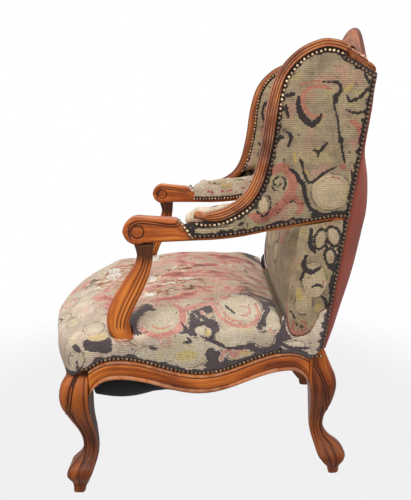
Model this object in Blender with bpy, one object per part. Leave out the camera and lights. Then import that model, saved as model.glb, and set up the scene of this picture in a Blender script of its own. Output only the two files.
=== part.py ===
"""A confessional wing armchair in the eighteenth-century French manner.

The frame is carved wood joined with tenons: cabriole legs, serpentine seat rails, scrolled arms on
S-shaped posts, reeded wing rails and an arched crest. Webbing, coil springs, stuffing and covers
are separate pieces. Metres, +Z up, the chair faces -Y and its left side is +X.
"""

import math

import bmesh
import bpy
from mathutils import Vector

# Fits
GAP = 0.0004            # between pieces that touch
TENON_FIT = 0.0003      # round a tenon in its mortise

# Plan of the seat
SEAT_FRONT_HALF = 0.374     # outer side plane at the front legs
SEAT_BACK_HALF = 0.286      # outer side plane at the back feet
FRONT_LEG_Y = -0.305
BACK_LEG_Y = 0.326
LEG_INSET = 0.030           # foot centres lie this far inside the outer planes
FRONT_BOW = 0.045           # the front rail's bow in plan

# Heights of the seat frame
RAIL_TOP = 0.395
RAIL_CORE_BOTTOM = 0.305
KNEE_TOP = 0.300

# Seat rails
RAIL_THICK = 0.038
RAIL_WAVE_MID = 0.270       # lower edge of the serpentine
RAIL_WAVE = 0.023
RAIL_BAND = 0.047           # height of the moulded band
RAIL_REBATE = 0.010         # the covered upper part stands back this far
RAIL_ARCH_RUN = 0.050       # rounding from the lower edge into each leg
RAIL_ARCH_DROP = 0.034
RAIL_CREST_DROP = 0.012
APRON_THICK = 0.015
BACK_RAIL_THICK = 0.030
RAIL_TENON_LOW = RAIL_TOP - 0.060
RAIL_TENON_HIGH = RAIL_TOP - 0.015
TENON_LONG = 0.024          # how far a tenon goes into its mortise

# Back frame
BACK_RAKE = 0.1435          # backward lean per metre of height
STILE_DEPTH = 0.042
STILE_WIDTH = 0.044
STILE_FOOT = 0.345          # where the leaning stile starts above the leg
LOWER_RAIL = RAIL_TOP + 0.050   # underside of the back frame's lower rail
LOWER_RAIL_HEIGHT = 0.045
CREST_END = 0.996           # rear edge of the crest over the stiles
CREST_RISE = 0.116          # its arch in the middle
CREST_END_HEIGHT = 0.013
CREST_MID_HEIGHT = 0.046
CREST_END_LIFT = 0.037      # its front edge rises to meet the wing rail at the ends
CREST_BLADE_SET = 0.013     # its middle is this much thinner than the stiles, front and rear
CREST_SHOULDER = 0.0325     # its ends reach this far ahead of the stiles

# Arms and wings
ARM_WIDTH = 0.048
SCROLL_Y = -0.151
SCROLL_Z = 0.642
SCROLL_RADIUS = 0.031
ARM_EDGE = 0.006            # rounding of the arm's long edges
ARM_COVER_START = -0.052
WING_BAND = 0.024           # width of the wing moulding seen from the side
WING_IN = 0.026             # wing rail inside and outside the side plane
WING_OUT = 0.011

# Upholstery
SEAT_CLEAR = 0.0016         # between the spring canvas and the seat's stuffing
SKIRT_INSET = 0.0078        # inner face of the seat cover's skirt
SKIRT_LIFT = 0.0024         # its lower edge above the moulded band
SEAT_REAR = 0.184
SEAT_SAG = 0.022            # the worn front of the seat lies this much lower
SEAT_FRONT_BULGE = 0.0177
SEAT_EDGE = RAIL_TOP + 0.033    # where the cover turns over the roll edge
SEAT_CROWN = RAIL_TOP + 0.089
ARM_PAD_RISE = 0.042
STRAP_WIDE = 0.050
STRAP_THICK = 0.0016
STRAP_WEAVE = 0.0011        # straps pass this far over and under their middle plane
STRAP_PITCH_ACROSS = 0.080
STRAP_PITCH_ALONG = 0.075
STRAP_FIRST = 0.069         # first cross strap behind the front legs
BACK_STRAP_ABOVE = 0.056    # middle of the back straps above and below the arm's end
BACK_STRAP_BELOW = 0.027
BACK_STRAP_PITCH = 0.130
CANVAS_THICK = 0.0015
WIRE_RADIUS = 0.0018
SPRING_TURNS = 5
SPRING_STEPS = 8            # points to a turn
SPRING_END_RADIUS = 0.040
SPRING_WAIST_RADIUS = 0.028
BACK_BULGE = 0.0705          # the outside back's swelling behind the stiles
DUST_SAG = 0.088

# Height, outward and inward reach of the front leg from its foot centre
FRONT_LEG = (
    (0.000, 0.0145, 0.0125),
    (0.013, 0.0150, 0.0155),
    (0.020, 0.021, 0.020),
    (0.034, 0.028, 0.026),
    (0.050, 0.025, 0.033),
    (0.064, 0.017, 0.038),
    (0.080, -0.002, 0.042),
    (0.104, -0.008, 0.044),
    (0.130, -0.007, 0.043),
    (0.156, 0.001, 0.041),
    (0.193, 0.018, 0.037),
    (0.228, 0.032, 0.036),
    (0.258, 0.035, 0.036),
    (0.284, 0.030, 0.036),
    (KNEE_TOP, 0.021, 0.036),
)
LEG_BLOCK_REACH = 0.006     # the covered block above the knee

# Height, backward, forward, outward and inward reach of the back leg from its foot centre
BACK_LEG = (
    (0.000, 0.0145, 0.0125, 0.0135, 0.0135),
    (0.016, 0.0160, 0.0160, 0.0150, 0.0160),
    (0.024, 0.024, 0.022, 0.019, 0.018),
    (0.040, 0.029, 0.034, 0.022, 0.022),
    (0.058, 0.022, 0.044, 0.016, 0.026),
    (0.076, 0.003, 0.051, 0.004, 0.028),
    (0.096, -0.021, 0.058, -0.002, 0.030),
    (0.122, -0.028, 0.063, -0.002, 0.031),
    (0.152, -0.026, 0.065, 0.004, 0.031),
    (0.184, -0.018, 0.067, 0.018, 0.031),
    (0.216, -0.009, 0.069, 0.030, 0.031),
    (0.246, -0.006, 0.073, 0.036, 0.031),
    (0.272, -0.010, 0.077, 0.036, 0.031),
    (KNEE_TOP, -0.022, 0.077, 0.035, 0.031),
)

# Share of its height, front and back edge of the arm post
ARM_POST = (
    (0.000, -0.209, -0.163),
    (0.058, -0.219, -0.171),
    (0.147, -0.224, -0.175),
    (0.254, -0.223, -0.168),
    (0.384, -0.214, -0.155),
    (0.523, -0.197, -0.140),
    (0.663, -0.178, -0.128),
    (0.774, -0.161, -0.122),
    (0.876, -0.154, -0.119),
    (0.941, -0.156, -0.118),
    (1.000, -0.160, -0.117),
)

# Depth and height of the arm's lower edge, and of its upper edge under the pad
ARM_LOW = ((-0.122, 0.615), (-0.030, 0.617), (0.021, 0.618), (0.077, 0.623), (0.145, 0.635), (0.290, 0.657))
ARM_HIGH = ((-0.052, 0.650), (0.030, 0.652), (0.070, 0.657), (0.120, 0.668), (0.200, 0.686), (0.290, 0.704))

# Depth and share of its rise along the middle of the wing moulding, from its leaf on the arm to the crest
WING_FOOT = 0.671           # lowest point of the moulding, on the arm
WING_END = CREST_END + 0.033    # height at which it meets the crest
WING_PATH = (
    (-0.026, 0.011), (0.012, 0.000), (0.050, 0.025), (0.090, 0.101), (0.116, 0.222), (0.134, 0.430),
    (0.146, 0.668), (0.165, 0.844), (0.201, 0.961), (0.246, 1.022), (0.278, 1.022),
)

# Height, distance in from the side plane and stuffing depth of the inside back
BACK_STUFFING = (
    (RAIL_TOP + 0.0035, 0.0266, 0.058),
    (RAIL_TOP + 0.019, 0.0143, 0.061),
    (RAIL_TOP + 0.055, 0.0066, 0.070),
    (RAIL_TOP + 0.105, 0.0056, 0.080),
    (RAIL_TOP + 0.150, 0.0057, 0.083),
    (0.600, 0.0066, 0.081),
    (0.622, 0.0102, 0.079),
    (0.633, 0.0520, 0.078),
    (CREST_END - 0.296, 0.0506, 0.076),
    (CREST_END - 0.196, 0.0506, 0.071),
    (CREST_END - 0.096, 0.0516, 0.059),
    (CREST_END - 0.043, 0.0557, 0.043),
    (CREST_END - 0.024, 0.0654, 0.026),
)

# Height and share of the outside back's swelling
BACK_SWELL = (
    (0.346, 0.16), (0.362, 0.45), (0.420, 0.66), (0.500, 0.86), (0.600, 1.00), (0.670, 0.98),
    (0.740, 0.80), (0.800, 0.44), (0.860, 0.14), (0.915, 0.02), (0.967, 0.00),
)

# Depth behind the seat and height above the rails along the rounded foot of the back's side cover
TONGUE = ((0.004, 0.050), (0.012, 0.006), (0.029, -0.012), (0.062, -0.002), (0.086, 0.046))

SIDES = ((1, "left"), (-1, "right"))


def material(name, colour, roughness, metallic=0.0):
    """A plain finish for one kind of material."""
    made = bpy.data.materials.new(name)
    made.use_nodes = True
    shader = made.node_tree.nodes["Principled BSDF"]
    shader.inputs["Base Color"].default_value = (*colour, 1.0)
    shader.inputs["Roughness"].default_value = roughness
    shader.inputs["Metallic"].default_value = metallic
    return made


def clear_scene():
    """Removes whatever the scene holds at the start."""
    for old in list(bpy.data.objects):
        bpy.data.objects.remove(old, do_unlink=True)


def place(name, mesh, finish):
    """A mesh as a named object with its finish and smooth rounds."""
    mesh.materials.append(finish)
    mesh.polygons.foreach_set("use_smooth", [True] * len(mesh.polygons))
    mesh.set_sharp_from_angle(angle=math.radians(35))
    made = bpy.data.objects.new(name, mesh)
    bpy.context.scene.collection.objects.link(made)
    return made


def loft(name, rings, finish):
    """A closed solid through rings of points; a ring of one point closes to a tip."""
    shell = bmesh.new()
    loops = [[shell.verts.new(point) for point in ring] for ring in rings]
    for low, high in zip(loops, loops[1:]):
        count = max(len(low), len(high))
        for i in range(count):
            j = (i + 1) % count
            if len(high) == 1:
                shell.faces.new((low[i], low[j], high[0]))
            else:
                shell.faces.new((low[i], low[j], high[j], high[i]))
    shell.faces.new(list(reversed(loops[0])))
    if len(loops[-1]) > 1:
        shell.faces.new(loops[-1])
    bmesh.ops.recalc_face_normals(shell, faces=shell.faces)
    if shell.calc_volume(signed=True) < 0:
        bmesh.ops.reverse_faces(shell, faces=shell.faces)
    mesh = bpy.data.meshes.new(name)
    shell.to_mesh(mesh)
    shell.free()
    return place(name, mesh, finish)


def block(name, low, high, finish):
    """A box between two corners."""
    rings = []
    for z in (low[2], high[2]):
        rings.append([(low[0], low[1], z), (high[0], low[1], z), (high[0], high[1], z), (low[0], high[1], z)])
    return loft(name, rings, finish)


def boolean(target, other, operation):
    """Adds a Boolean to target and makes the other object a hidden helper."""
    modifier = target.modifiers.new(other.name, "BOOLEAN")
    modifier.operation = operation
    modifier.object = other
    other.hide_render = True
    other.display_type = "WIRE"


def tenon(male, female, low, high, finish):
    """Joins a tenon block to the male piece and cuts its mortise in the female one."""
    ends = [sorted(pair) for pair in zip(low, high)]
    tongue = block(f"{male.name}_tenon_in_{female.name}", [e[0] for e in ends], [e[1] for e in ends], finish)
    slot = block(
        f"{female.name}_mortise_for_{male.name}",
        [e[0] - TENON_FIT for e in ends],
        [e[1] + TENON_FIT for e in ends],
        finish,
    )
    boolean(male, tongue, "UNION")
    boolean(female, slot, "DIFFERENCE")


def smooth_at(table, key):
    """The values of a table of (key, value, ...) rows at key, on a smooth curve through the rows."""
    if key <= table[0][0]:
        return list(table[0][1:])
    if key >= table[-1][0]:
        return list(table[-1][1:])
    i = max(k for k in range(len(table) - 1) if table[k][0] <= key)
    low, high = table[i], table[i + 1]
    before, after = table[max(i - 1, 0)], table[min(i + 2, len(table) - 1)]
    span = high[0] - low[0]
    t = (key - low[0]) / span
    values = []
    for c in range(1, len(low)):
        slope_low = (high[c] - before[c]) / (high[0] - before[0]) * span
        slope_high = (after[c] - low[c]) / (after[0] - low[0]) * span
        values.append(
            low[c] * (2 * t**3 - 3 * t**2 + 1)
            + slope_low * (t**3 - 2 * t**2 + t)
            + high[c] * (3 * t**2 - 2 * t**3)
            + slope_high * (t**3 - t**2)
        )
    return values


def smooth_path(points, steps):
    """Points along a smooth path through the given ones, steps to a span."""
    rows = [(i, *point) for i, point in enumerate(points)]
    last = len(points) - 1
    return [smooth_at(rows, last * k / (last * steps)) for k in range(last * steps + 1)]


def spread(start, end, count):
    """Evenly spaced numbers from start to end."""
    return [start + (end - start) * i / (count - 1) for i in range(count)]


def ease(t):
    """0 to 1 with a soft start and end."""
    t = min(max(t, 0.0), 1.0)
    return t * t * (3 - 2 * t)


SIDE_TAPER = (SEAT_FRONT_HALF - SEAT_BACK_HALF) / (BACK_LEG_Y - FRONT_LEG_Y)
FRONT_FOOT_X = SEAT_FRONT_HALF - LEG_INSET
BACK_FOOT_X = SEAT_BACK_HALF - LEG_INSET
LEG_INNER_X = FRONT_FOOT_X - FRONT_LEG[-1][2]
LEG_INNER_Y = FRONT_LEG_Y + FRONT_LEG[-1][2]
SHOULDER_Y = BACK_LEG_Y - BACK_LEG[-1][2]
POST_INNER_X = BACK_FOOT_X - BACK_LEG[-1][4]
ARM_JOINT = (ARM_LOW[-1][1] + ARM_HIGH[-1][1]) / 2
SEAT_UNDER = RAIL_TOP + GAP + CANVAS_THICK + SEAT_CLEAR
STRAP_XS = [k * STRAP_PITCH_ACROSS for k in (-2, -1, 0, 1, 2)]
STRAP_YS = [LEG_INNER_Y + STRAP_FIRST + k * STRAP_PITCH_ALONG for k in range(5)]


def side_x(y):
    """The outer side plane, which narrows toward the back."""
    return SEAT_FRONT_HALF - SIDE_TAPER * (y - FRONT_LEG_Y)


def front_y(x):
    """The bowed outer face of the front rail."""
    return FRONT_LEG_Y - LEG_INSET - FRONT_BOW * (1 - (x / LEG_INNER_X) ** 2)


def stile_front(z):
    """Front face of the leaning back stiles."""
    return SHOULDER_Y + BACK_RAKE * (z - RAIL_TOP)


def stile_rear(z):
    """Rear face of the leaning back stiles."""
    return stile_front(z) + STILE_DEPTH


def crest_arch(x):
    """Rise of the crest above its ends."""
    t = min(abs(x) / CREST_REACH, 1.0)
    return CREST_RISE * (1 + math.cos(math.pi * t**1.2)) / 2


def crest_section(x):
    """Front, rear, lower and upper height and front lift of the crest at x."""
    t = min(abs(x) / CREST_REACH, 1.0)
    high = CREST_END + crest_arch(x)
    low = high - CREST_END_HEIGHT - (CREST_MID_HEIGHT - CREST_END_HEIGHT) * (1 - t * t)
    shoulder = ease((t - 0.66) / 0.24)
    front = stile_front(high) + CREST_BLADE_SET - (CREST_BLADE_SET + CREST_SHOULDER) * shoulder
    rear = stile_rear(high) - CREST_BLADE_SET + 0.004 * shoulder
    return front, rear, low, high, CREST_END_LIFT * shoulder


def under_crest(x):
    """Rise of the crest's lower edge above its ends."""
    return crest_section(x)[2] - (CREST_END - CREST_END_HEIGHT)


CREST_REACH = side_x((stile_front(CREST_END) + stile_rear(CREST_END)) / 2) + 0.002
WING_END_Y = stile_front(CREST_END) - CREST_SHOULDER - 2 * GAP


def rail_edges(t, length, belly):
    """Lower and upper edge of the moulded band at share t of a rail whose belly is at a share too."""
    wave = RAIL_WAVE_MID - RAIL_WAVE * math.cos(2 * math.pi * (t - belly) / 0.78)
    near = max(0.0, 1 - min(t, 1 - t) * length / RAIL_ARCH_RUN)
    low = wave - RAIL_ARCH_DROP * (1 - math.sqrt(1 - near**2))
    high = wave + RAIL_BAND - RAIL_CREST_DROP * near**2
    return low, high


def side_rail_edges(y):
    """Moulded band of a side rail at depth y."""
    length = SHOULDER_Y - LEG_INNER_Y
    return rail_edges(min(max((y - LEG_INNER_Y) / length, 0.0), 1.0), length, 0.51)


def front_rail_edges(x):
    """Moulded band of the front rail at x."""
    length = 2 * LEG_INNER_X
    return rail_edges(min(max((x + LEG_INNER_X) / length, 0.0), 1.0), length, 0.50)


def rail_section(low, high):
    """A rail's section as (distance outward from its face, height) pairs."""
    lip = high - 0.010
    return [
        (-APRON_THICK, low),
        (-0.004, low),
        (0.0, low + 0.003),
        (0.0, low + 0.009),
        (-0.0035, low + 0.012),
        (-0.0015, low + 0.016),
        (-0.0015, lip),
        (-0.0035, lip + 0.003),
        (0.0, lip + 0.006),
        (-0.002, high),
        (-RAIL_REBATE, high),
        (-RAIL_REBATE, RAIL_TOP),
        (-RAIL_THICK, RAIL_TOP),
        (-RAIL_THICK, RAIL_CORE_BOTTOM),
        (-APRON_THICK, RAIL_CORE_BOTTOM),
    ]


def rounded_ring(x0, x1, y0, y1, z, radius, lean=0.0):
    """A rounded rectangle at height z, sheared in x by lean per metre of y."""
    radius = min(radius, 0.45 * (x1 - x0), 0.45 * (y1 - y0))
    middle = (y0 + y1) / 2
    points = []
    corners = ((x1 - radius, y1 - radius, 0), (x0 + radius, y1 - radius, 90),
               (x0 + radius, y0 + radius, 180), (x1 - radius, y0 + radius, 270))
    for cx, cy, start in corners:
        for turn in (0, 30, 60, 90):
            angle = math.radians(start + turn)
            x = cx + radius * math.cos(angle)
            y = cy + radius * math.sin(angle)
            points.append(Vector((x - lean * (y - middle), y, z)))
    return points


def mirrored(rings, side):
    """Rings on the left side, or their mirror image on the right."""
    return [[(side * p[0], p[1], p[2]) for p in ring] for ring in rings]


def front_leg(side, tag, finish):
    """A cabriole leg with its covered block above the knee."""
    rings = []
    for z, out, inside in FRONT_LEG:
        rings.append(rounded_ring(FRONT_FOOT_X - inside, FRONT_FOOT_X + out,
                                  FRONT_LEG_Y - out, FRONT_LEG_Y + inside, z, 0.010))
    for z in (KNEE_TOP + 0.002, RAIL_TOP):
        rings.append(rounded_ring(LEG_INNER_X, FRONT_FOOT_X + LEG_BLOCK_REACH,
                                  FRONT_LEG_Y - LEG_BLOCK_REACH, LEG_INNER_Y, z, 0.004))
    return loft(f"front_leg_{tag}", mirrored(rings, side), finish)


def back_post(side, tag, finish):
    """A cabriole back leg that carries on as the leaning stile."""
    rings = []
    for z, back, front, out, inside in BACK_LEG:
        rings.append(rounded_ring(BACK_FOOT_X - inside, BACK_FOOT_X + out,
                                  BACK_LEG_Y - front, BACK_LEG_Y + back, z, 0.010, SIDE_TAPER))
    block_rear = stile_rear(STILE_FOOT)
    for z in (STILE_FOOT, RAIL_TOP):
        rear = max(block_rear, stile_rear(z))
        outer = side_x((SHOULDER_Y + rear) / 2)
        rings.append(rounded_ring(POST_INNER_X, outer, SHOULDER_Y, rear, z, 0.004, SIDE_TAPER))
    top = CREST_END - CREST_END_HEIGHT - 0.010
    for z in spread(RAIL_TOP + 0.030, top, 5):
        front, rear = stile_front(z), stile_rear(z)
        outer = side_x((front + rear) / 2)
        rings.append(rounded_ring(outer - STILE_WIDTH, outer, front, rear, z, 0.004, SIDE_TAPER))
    slant = 0.9 * CREST_END_LIFT / (STILE_DEPTH + CREST_SHOULDER)
    for point in rings[-1]:
        rise = slant * (stile_rear(top) - point.y)
        point.z += rise
        point.y += BACK_RAKE * rise
        point.x -= SIDE_TAPER * BACK_RAKE * rise
    return loft(f"back_post_{tag}", mirrored(rings, side), finish)


def side_rail(side, tag, finish):
    """A serpentine side rail between a front leg and a back post."""
    rings = []
    for y in spread(LEG_INNER_Y + GAP, SHOULDER_Y - GAP, 23):
        low, high = side_rail_edges(y)
        rings.append([(side_x(y) + n, y, z) for n, z in rail_section(low, high)])
    return loft(f"side_rail_{tag}", mirrored(rings, side), finish)


def front_rail(finish):
    """The bowed serpentine front rail."""
    rings = []
    reach = LEG_INNER_X - GAP
    for x in spread(-reach, reach, 25):
        low, high = front_rail_edges(x)
        rings.append([(x, front_y(x) - n, z) for n, z in rail_section(low, high)])
    return loft("front_rail", rings, finish)


def back_rail(front, finish):
    """The plain rear rail, its ends cut to the slant of the posts."""
    middle = front + BACK_RAIL_THICK / 2
    rings = []
    for z in (RAIL_CORE_BOTTOM, RAIL_TOP):
        ring = []
        for end, y in ((-1, front), (1, front), (1, front + BACK_RAIL_THICK), (-1, front + BACK_RAIL_THICK)):
            ring.append((end * (POST_INNER_X - SIDE_TAPER * (y - middle) - 2 * GAP), y, z))
        rings.append(ring)
    return loft("back_rail", rings, finish)


def arm_outline():
    """The arm seen from the side, as (depth, height) points round its edge."""
    low_end = stile_front(ARM_LOW[-1][1]) - GAP
    high_end = stile_front(ARM_HIGH[-1][1]) - GAP
    points = [(y, smooth_at(ARM_LOW, y)[0]) for y in spread(low_end, ARM_LOW[0][0], 10)]
    for angle in spread(-65, -270, 11):
        turn = math.radians(angle)
        points.append((SCROLL_Y + SCROLL_RADIUS * math.cos(turn), SCROLL_Z + SCROLL_RADIUS * math.sin(turn)))
    crown = SCROLL_Z + SCROLL_RADIUS
    points.append((-0.105, crown - 0.004))
    points.append((ARM_COVER_START - 0.004, crown - 0.007))
    points += [(y, smooth_at(ARM_HIGH, y)[0]) for y in spread(ARM_COVER_START, high_end, 9)]
    return points


def shrunk(outline, amount):
    """An outline drawn in by an amount along its corner normals."""
    area = sum(a[0] * b[1] - b[0] * a[1] for a, b in zip(outline, outline[1:] + outline[:1]))
    sign = 1 if area > 0 else -1
    drawn = []
    for i, point in enumerate(outline):
        before, after = Vector(outline[i - 1]), Vector(outline[(i + 1) % len(outline)])
        here = Vector(point)
        into = (here - before).normalized()
        out = (after - here).normalized()
        along = (into + out).normalized()
        mitre = min(1 / max(along.dot(into), 0.1), 1.5)
        drawn.append(tuple(here + Vector((-along.y, along.x)) * (sign * amount * mitre)))
    return drawn


def arm(side, tag, finish):
    """An arm rail with its rolled hand end and rounded long edges."""
    outline = arm_outline()
    inset = shrunk(outline, ARM_EDGE)
    layers = ((inset, 0.0), (outline, -ARM_EDGE), (outline, ARM_EDGE - ARM_WIDTH), (inset, -ARM_WIDTH))
    rings = [[(side_x(y) + n, y, z) for y, z in points] for points, n in layers]
    return loft(f"arm_{tag}", mirrored(rings, side), finish)


def arm_post_rings(margin):
    """Sections of an arm post, grown by a margin for the cut in the seat."""
    rings = []
    low = RAIL_TOP + GAP
    high = SCROLL_Z - SCROLL_RADIUS - GAP
    for rise, front, back in ARM_POST:
        z = low + (high - low) * rise
        middle = side_x((front + back) / 2)
        outer = middle + 0.006 - 0.008 * rise
        inner = middle - 0.030 - 0.012 * rise
        rings.append(rounded_ring(inner - margin, outer + margin, front - margin, back + margin, z, 0.009))
    return rings


def wing_path():
    """Points along the middle of the wing moulding with the direction across it, its end cut plumb."""
    rise = WING_END - WING_FOOT
    points = [(y, WING_FOOT + rise * share) for y, share in WING_PATH]
    path = smooth_path(points + [(WING_END_Y, WING_END)], 3)
    steps = []
    for i, (y, z) in enumerate(path):
        before, after = path[max(i - 1, 0)], path[min(i + 1, len(path) - 1)]
        run = Vector((after[0] - before[0], after[1] - before[1])).normalized()
        steps.append((y, z, Vector((-run.y, run.x))))
    steps[-1] = (*path[-1], Vector((0.0, 1.0)))
    return steps


def wing_rail(side, tag, finish):
    """A reeded S-shaped wing rail that ends in a leaf on the arm."""
    half = WING_BAND / 2
    section = (
        (-1.0, -WING_IN + 0.004), (-1.0, WING_OUT - 0.005), (-0.8, WING_OUT - 0.001), (-0.45, WING_OUT),
        (-0.3, WING_OUT - 0.003), (0.0, WING_OUT), (0.3, WING_OUT - 0.003), (0.45, WING_OUT),
        (0.8, WING_OUT - 0.001), (1.0, WING_OUT - 0.006), (1.0, -WING_IN + 0.006), (0.6, -WING_IN),
        (-0.6, -WING_IN),
    )
    rings = []
    steps = wing_path()
    for i, (y, z, across) in enumerate(steps):
        leaf = 0.4 + 0.6 * ease(i / 5)
        ring = []
        for share, n in section:
            point = Vector((y, z)) + across * (share * half * leaf)
            ring.append((side_x(point.x) + n * (0.6 + 0.4 * leaf), point.x, point.y))
        rings.append(ring)
    return loft(f"wing_rail_{tag}", mirrored(rings, side), finish)


def wing_edge(offset):
    """Points along the wing moulding's inner edge, moved in by an offset."""
    return [(y - across.x * (WING_BAND / 2 + offset), z - across.y * (WING_BAND / 2 + offset))
            for y, z, across in wing_path()]


def crest_rail(finish):
    """The arched crest over both stiles, with a rounded moulded front."""
    rings = []
    for x in spread(-CREST_REACH, CREST_REACH, 29):
        front, rear, low, high, lift = crest_section(x)
        deep = rear - front
        tall = high - low
        ring = [
            (1.00, 0.00), (1.04, 0.35), (1.02, 0.72), (0.92, 0.95), (0.70, 1.00), (0.40, 1.00),
            (0.12, 0.97), (0.00, 0.84), (0.00, 0.00),
        ]
        swell = 0.5 * lift / CREST_END_LIFT
        rings.append([(x, front + deep * u, low + tall * v * (1 + swell * (1 - u)) + lift * (1 - u))
                      for u, v in ring])
    return loft("crest_rail", rings, finish)


def corner_block(name, side, outline, finish):
    """A glue block in a corner of the seat frame."""
    rings = [[(x, y, z) for x, y in outline] for z in (RAIL_CORE_BOTTOM + 0.025, RAIL_TOP - 0.010)]
    return loft(name, mirrored(rings, side), finish)


def seat_outline():
    """Left half of the seat cover's foot, back to front, as (x, y, height of its lower edge)."""
    under = SEAT_UNDER - 0.0012
    corner = side_x(SEAT_REAR)
    points = [(corner - 0.12, SEAT_REAR, under), (corner - SKIRT_INSET, SEAT_REAR, under)]
    for y in spread(SEAT_REAR, LEG_INNER_Y, 15):
        points.append((side_x(y), y, side_rail_edges(y)[1] + SKIRT_LIFT))
    reach = FRONT_LEG[-1][1]
    points.append((FRONT_FOOT_X + reach, FRONT_LEG_Y, KNEE_TOP + 0.003))
    points.append((FRONT_FOOT_X + 0.7 * reach, FRONT_LEG_Y - 0.7 * reach, KNEE_TOP + 0.003))
    points.append((FRONT_FOOT_X, FRONT_LEG_Y - reach, KNEE_TOP + 0.003))
    for x in spread(LEG_INNER_X, 0.0, 12):
        points.append((x, front_y(x), front_rail_edges(x)[1] + SKIRT_LIFT))
    return points


def seat_cushion(finish):
    """The stuffed seat: a domed cover whose skirt laps the rebate of the rails."""
    left = seat_outline()
    outline = left + [(-x, y, z) for x, y, z in reversed(left[:-1])]
    outline.append((0.0, SEAT_REAR, SEAT_UNDER - 0.0012))
    flat = [(x, y) for x, y, _ in outline]
    middle = Vector((0.0, -0.070))
    rear_lift = 0.014

    def sag(y):
        return SEAT_SAG * ease((-0.05 - y) / 0.20)

    def moved(inset, share):
        ring = []
        for (x, y), (_, y_foot, z_foot) in zip(shrunk(flat, inset), outline):
            bow = max(0.0, 1 - (x / LEG_INNER_X) ** 2)
            ahead = ease((-0.22 - y_foot) / 0.09)
            bulge = SEAT_FRONT_BULGE * max(bow, 0.5) * ahead * math.sin(math.pi * share**2.2)
            edge = SEAT_EDGE + rear_lift * ease(y_foot / SEAT_REAR) - sag(y_foot)
            tuck = 0.010 * share * ease(1 - (SEAT_REAR - y_foot) / 0.06)
            ring.append((x, y - bulge - tuck, z_foot + (edge - z_foot) * share))
        return ring

    skirt = moved(SKIRT_INSET, 0.0)
    rings = [[(x, y, SEAT_UNDER) for x, y, _ in skirt], skirt]
    for inset, share in ((0.002, 0.0), (-0.003, 0.22), (-0.006, 0.5), (-0.006, 0.75), (-0.001, 0.92)):
        rings.append(moved(inset, share))
    shoulder = moved(0.005, 1.0)
    rings.append(shoulder)
    for scale, share in ((0.90, 0.30), (0.75, 0.58), (0.52, 0.82), (0.26, 0.96)):
        ring = []
        for x, y, z in shoulder:
            spot = middle + (Vector((x, y)) - middle) * scale
            rise = (SEAT_CROWN - SEAT_EDGE) * share
            rear = max(0.0, z - SEAT_EDGE) * scale**2 * (1 - share)
            ring.append((spot.x, spot.y, SEAT_EDGE + rise + rear - sag(spot.y)))
        rings.append(ring)
    rings.append([(middle.x, middle.y, SEAT_CROWN - sag(middle.y))])
    return loft("seat_cushion", rings, finish)


def dust_cover(finish):
    """The cloth under the seat, tacked under the rails and sagging over its front half."""
    top = RAIL_CORE_BOTTOM - GAP - STRAP_THICK - STRAP_WEAVE - 0.0008
    hold = APRON_THICK + 0.003
    rear = SHOULDER_Y - 0.012
    corner = LEG_INNER_Y + 0.003
    rows = []
    for v in (-0.14, -0.07, 0.0) + tuple(spread(0.004, 1.0, 12)):
        y_side = corner + (rear - corner) * max(v, 0.0)
        half = LEG_INNER_X - 0.003 if v <= 0 else side_x(y_side) - hold
        droop = ease((v + 0.14) / 0.22) * (1 - ease((v - 0.40) / 0.40))
        row = []
        for u in spread(-1.0, 1.0, 15):
            x = half * math.copysign(abs(u) ** 0.5, u)
            ahead = min(v, 0.0) / -0.14
            y = y_side + (front_y(x) + hold - corner) * ahead
            row.append((x, y, top - DUST_SAG * droop * (1 - abs(x / half) ** 16)))
        rows.append(row)
    rings = []
    for row in rows:
        rings.append(row + [(x, y, z - 0.0018) for x, y, z in reversed(row)])
    return loft("dust_cover", rings, finish)


def strap(name, start, end, crossings, over_first, finish):
    """A webbing strap from start to end in plan that passes over and under at its crossings."""
    run = Vector(end) - Vector(start)
    length = run.length
    along = run / length
    across = Vector((-along.y, along.x)) * (STRAP_WIDE / 2)
    middle = RAIL_CORE_BOTTOM - GAP - STRAP_THICK / 2
    stops = [(0.0, 0.0)]
    for k, distance in enumerate(crossings):
        level = STRAP_WEAVE if (k % 2 == 0) == over_first else -STRAP_WEAVE
        stops.append((distance - STRAP_WIDE / 2 - 0.002, level))
        stops.append((distance + STRAP_WIDE / 2 + 0.002, level))
    stops.append((length, 0.0))
    rings = []
    for distance, level in stops:
        spot = Vector(start) + along * distance
        low, high = middle + level - STRAP_THICK / 2, middle + level + STRAP_THICK / 2
        a, b = spot - across, spot + across
        rings.append([(a.x, a.y, low), (b.x, b.y, low), (b.x, b.y, high), (a.x, a.y, high)])
    return loft(name, rings, finish)


def seat_straps(finish):
    """Five straps each way, tacked under the rail cores and interlaced."""
    hold = APRON_THICK + 0.006
    for i, x in enumerate(STRAP_XS):
        start = (x, front_y(x) + hold)
        crossings = [y - start[1] for y in STRAP_YS]
        strap(f"seat_strap_long_{i + 1}", start, (x, SHOULDER_Y + 0.024), crossings, i % 2 == 0, finish)
    for k, y in enumerate(STRAP_YS):
        half = side_x(y + STRAP_WIDE / 2) - hold
        crossings = [x + half for x in STRAP_XS]
        strap(f"seat_strap_cross_{k + 1}", (-half, y), (half, y), crossings, k % 2 == 1, finish)


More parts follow.
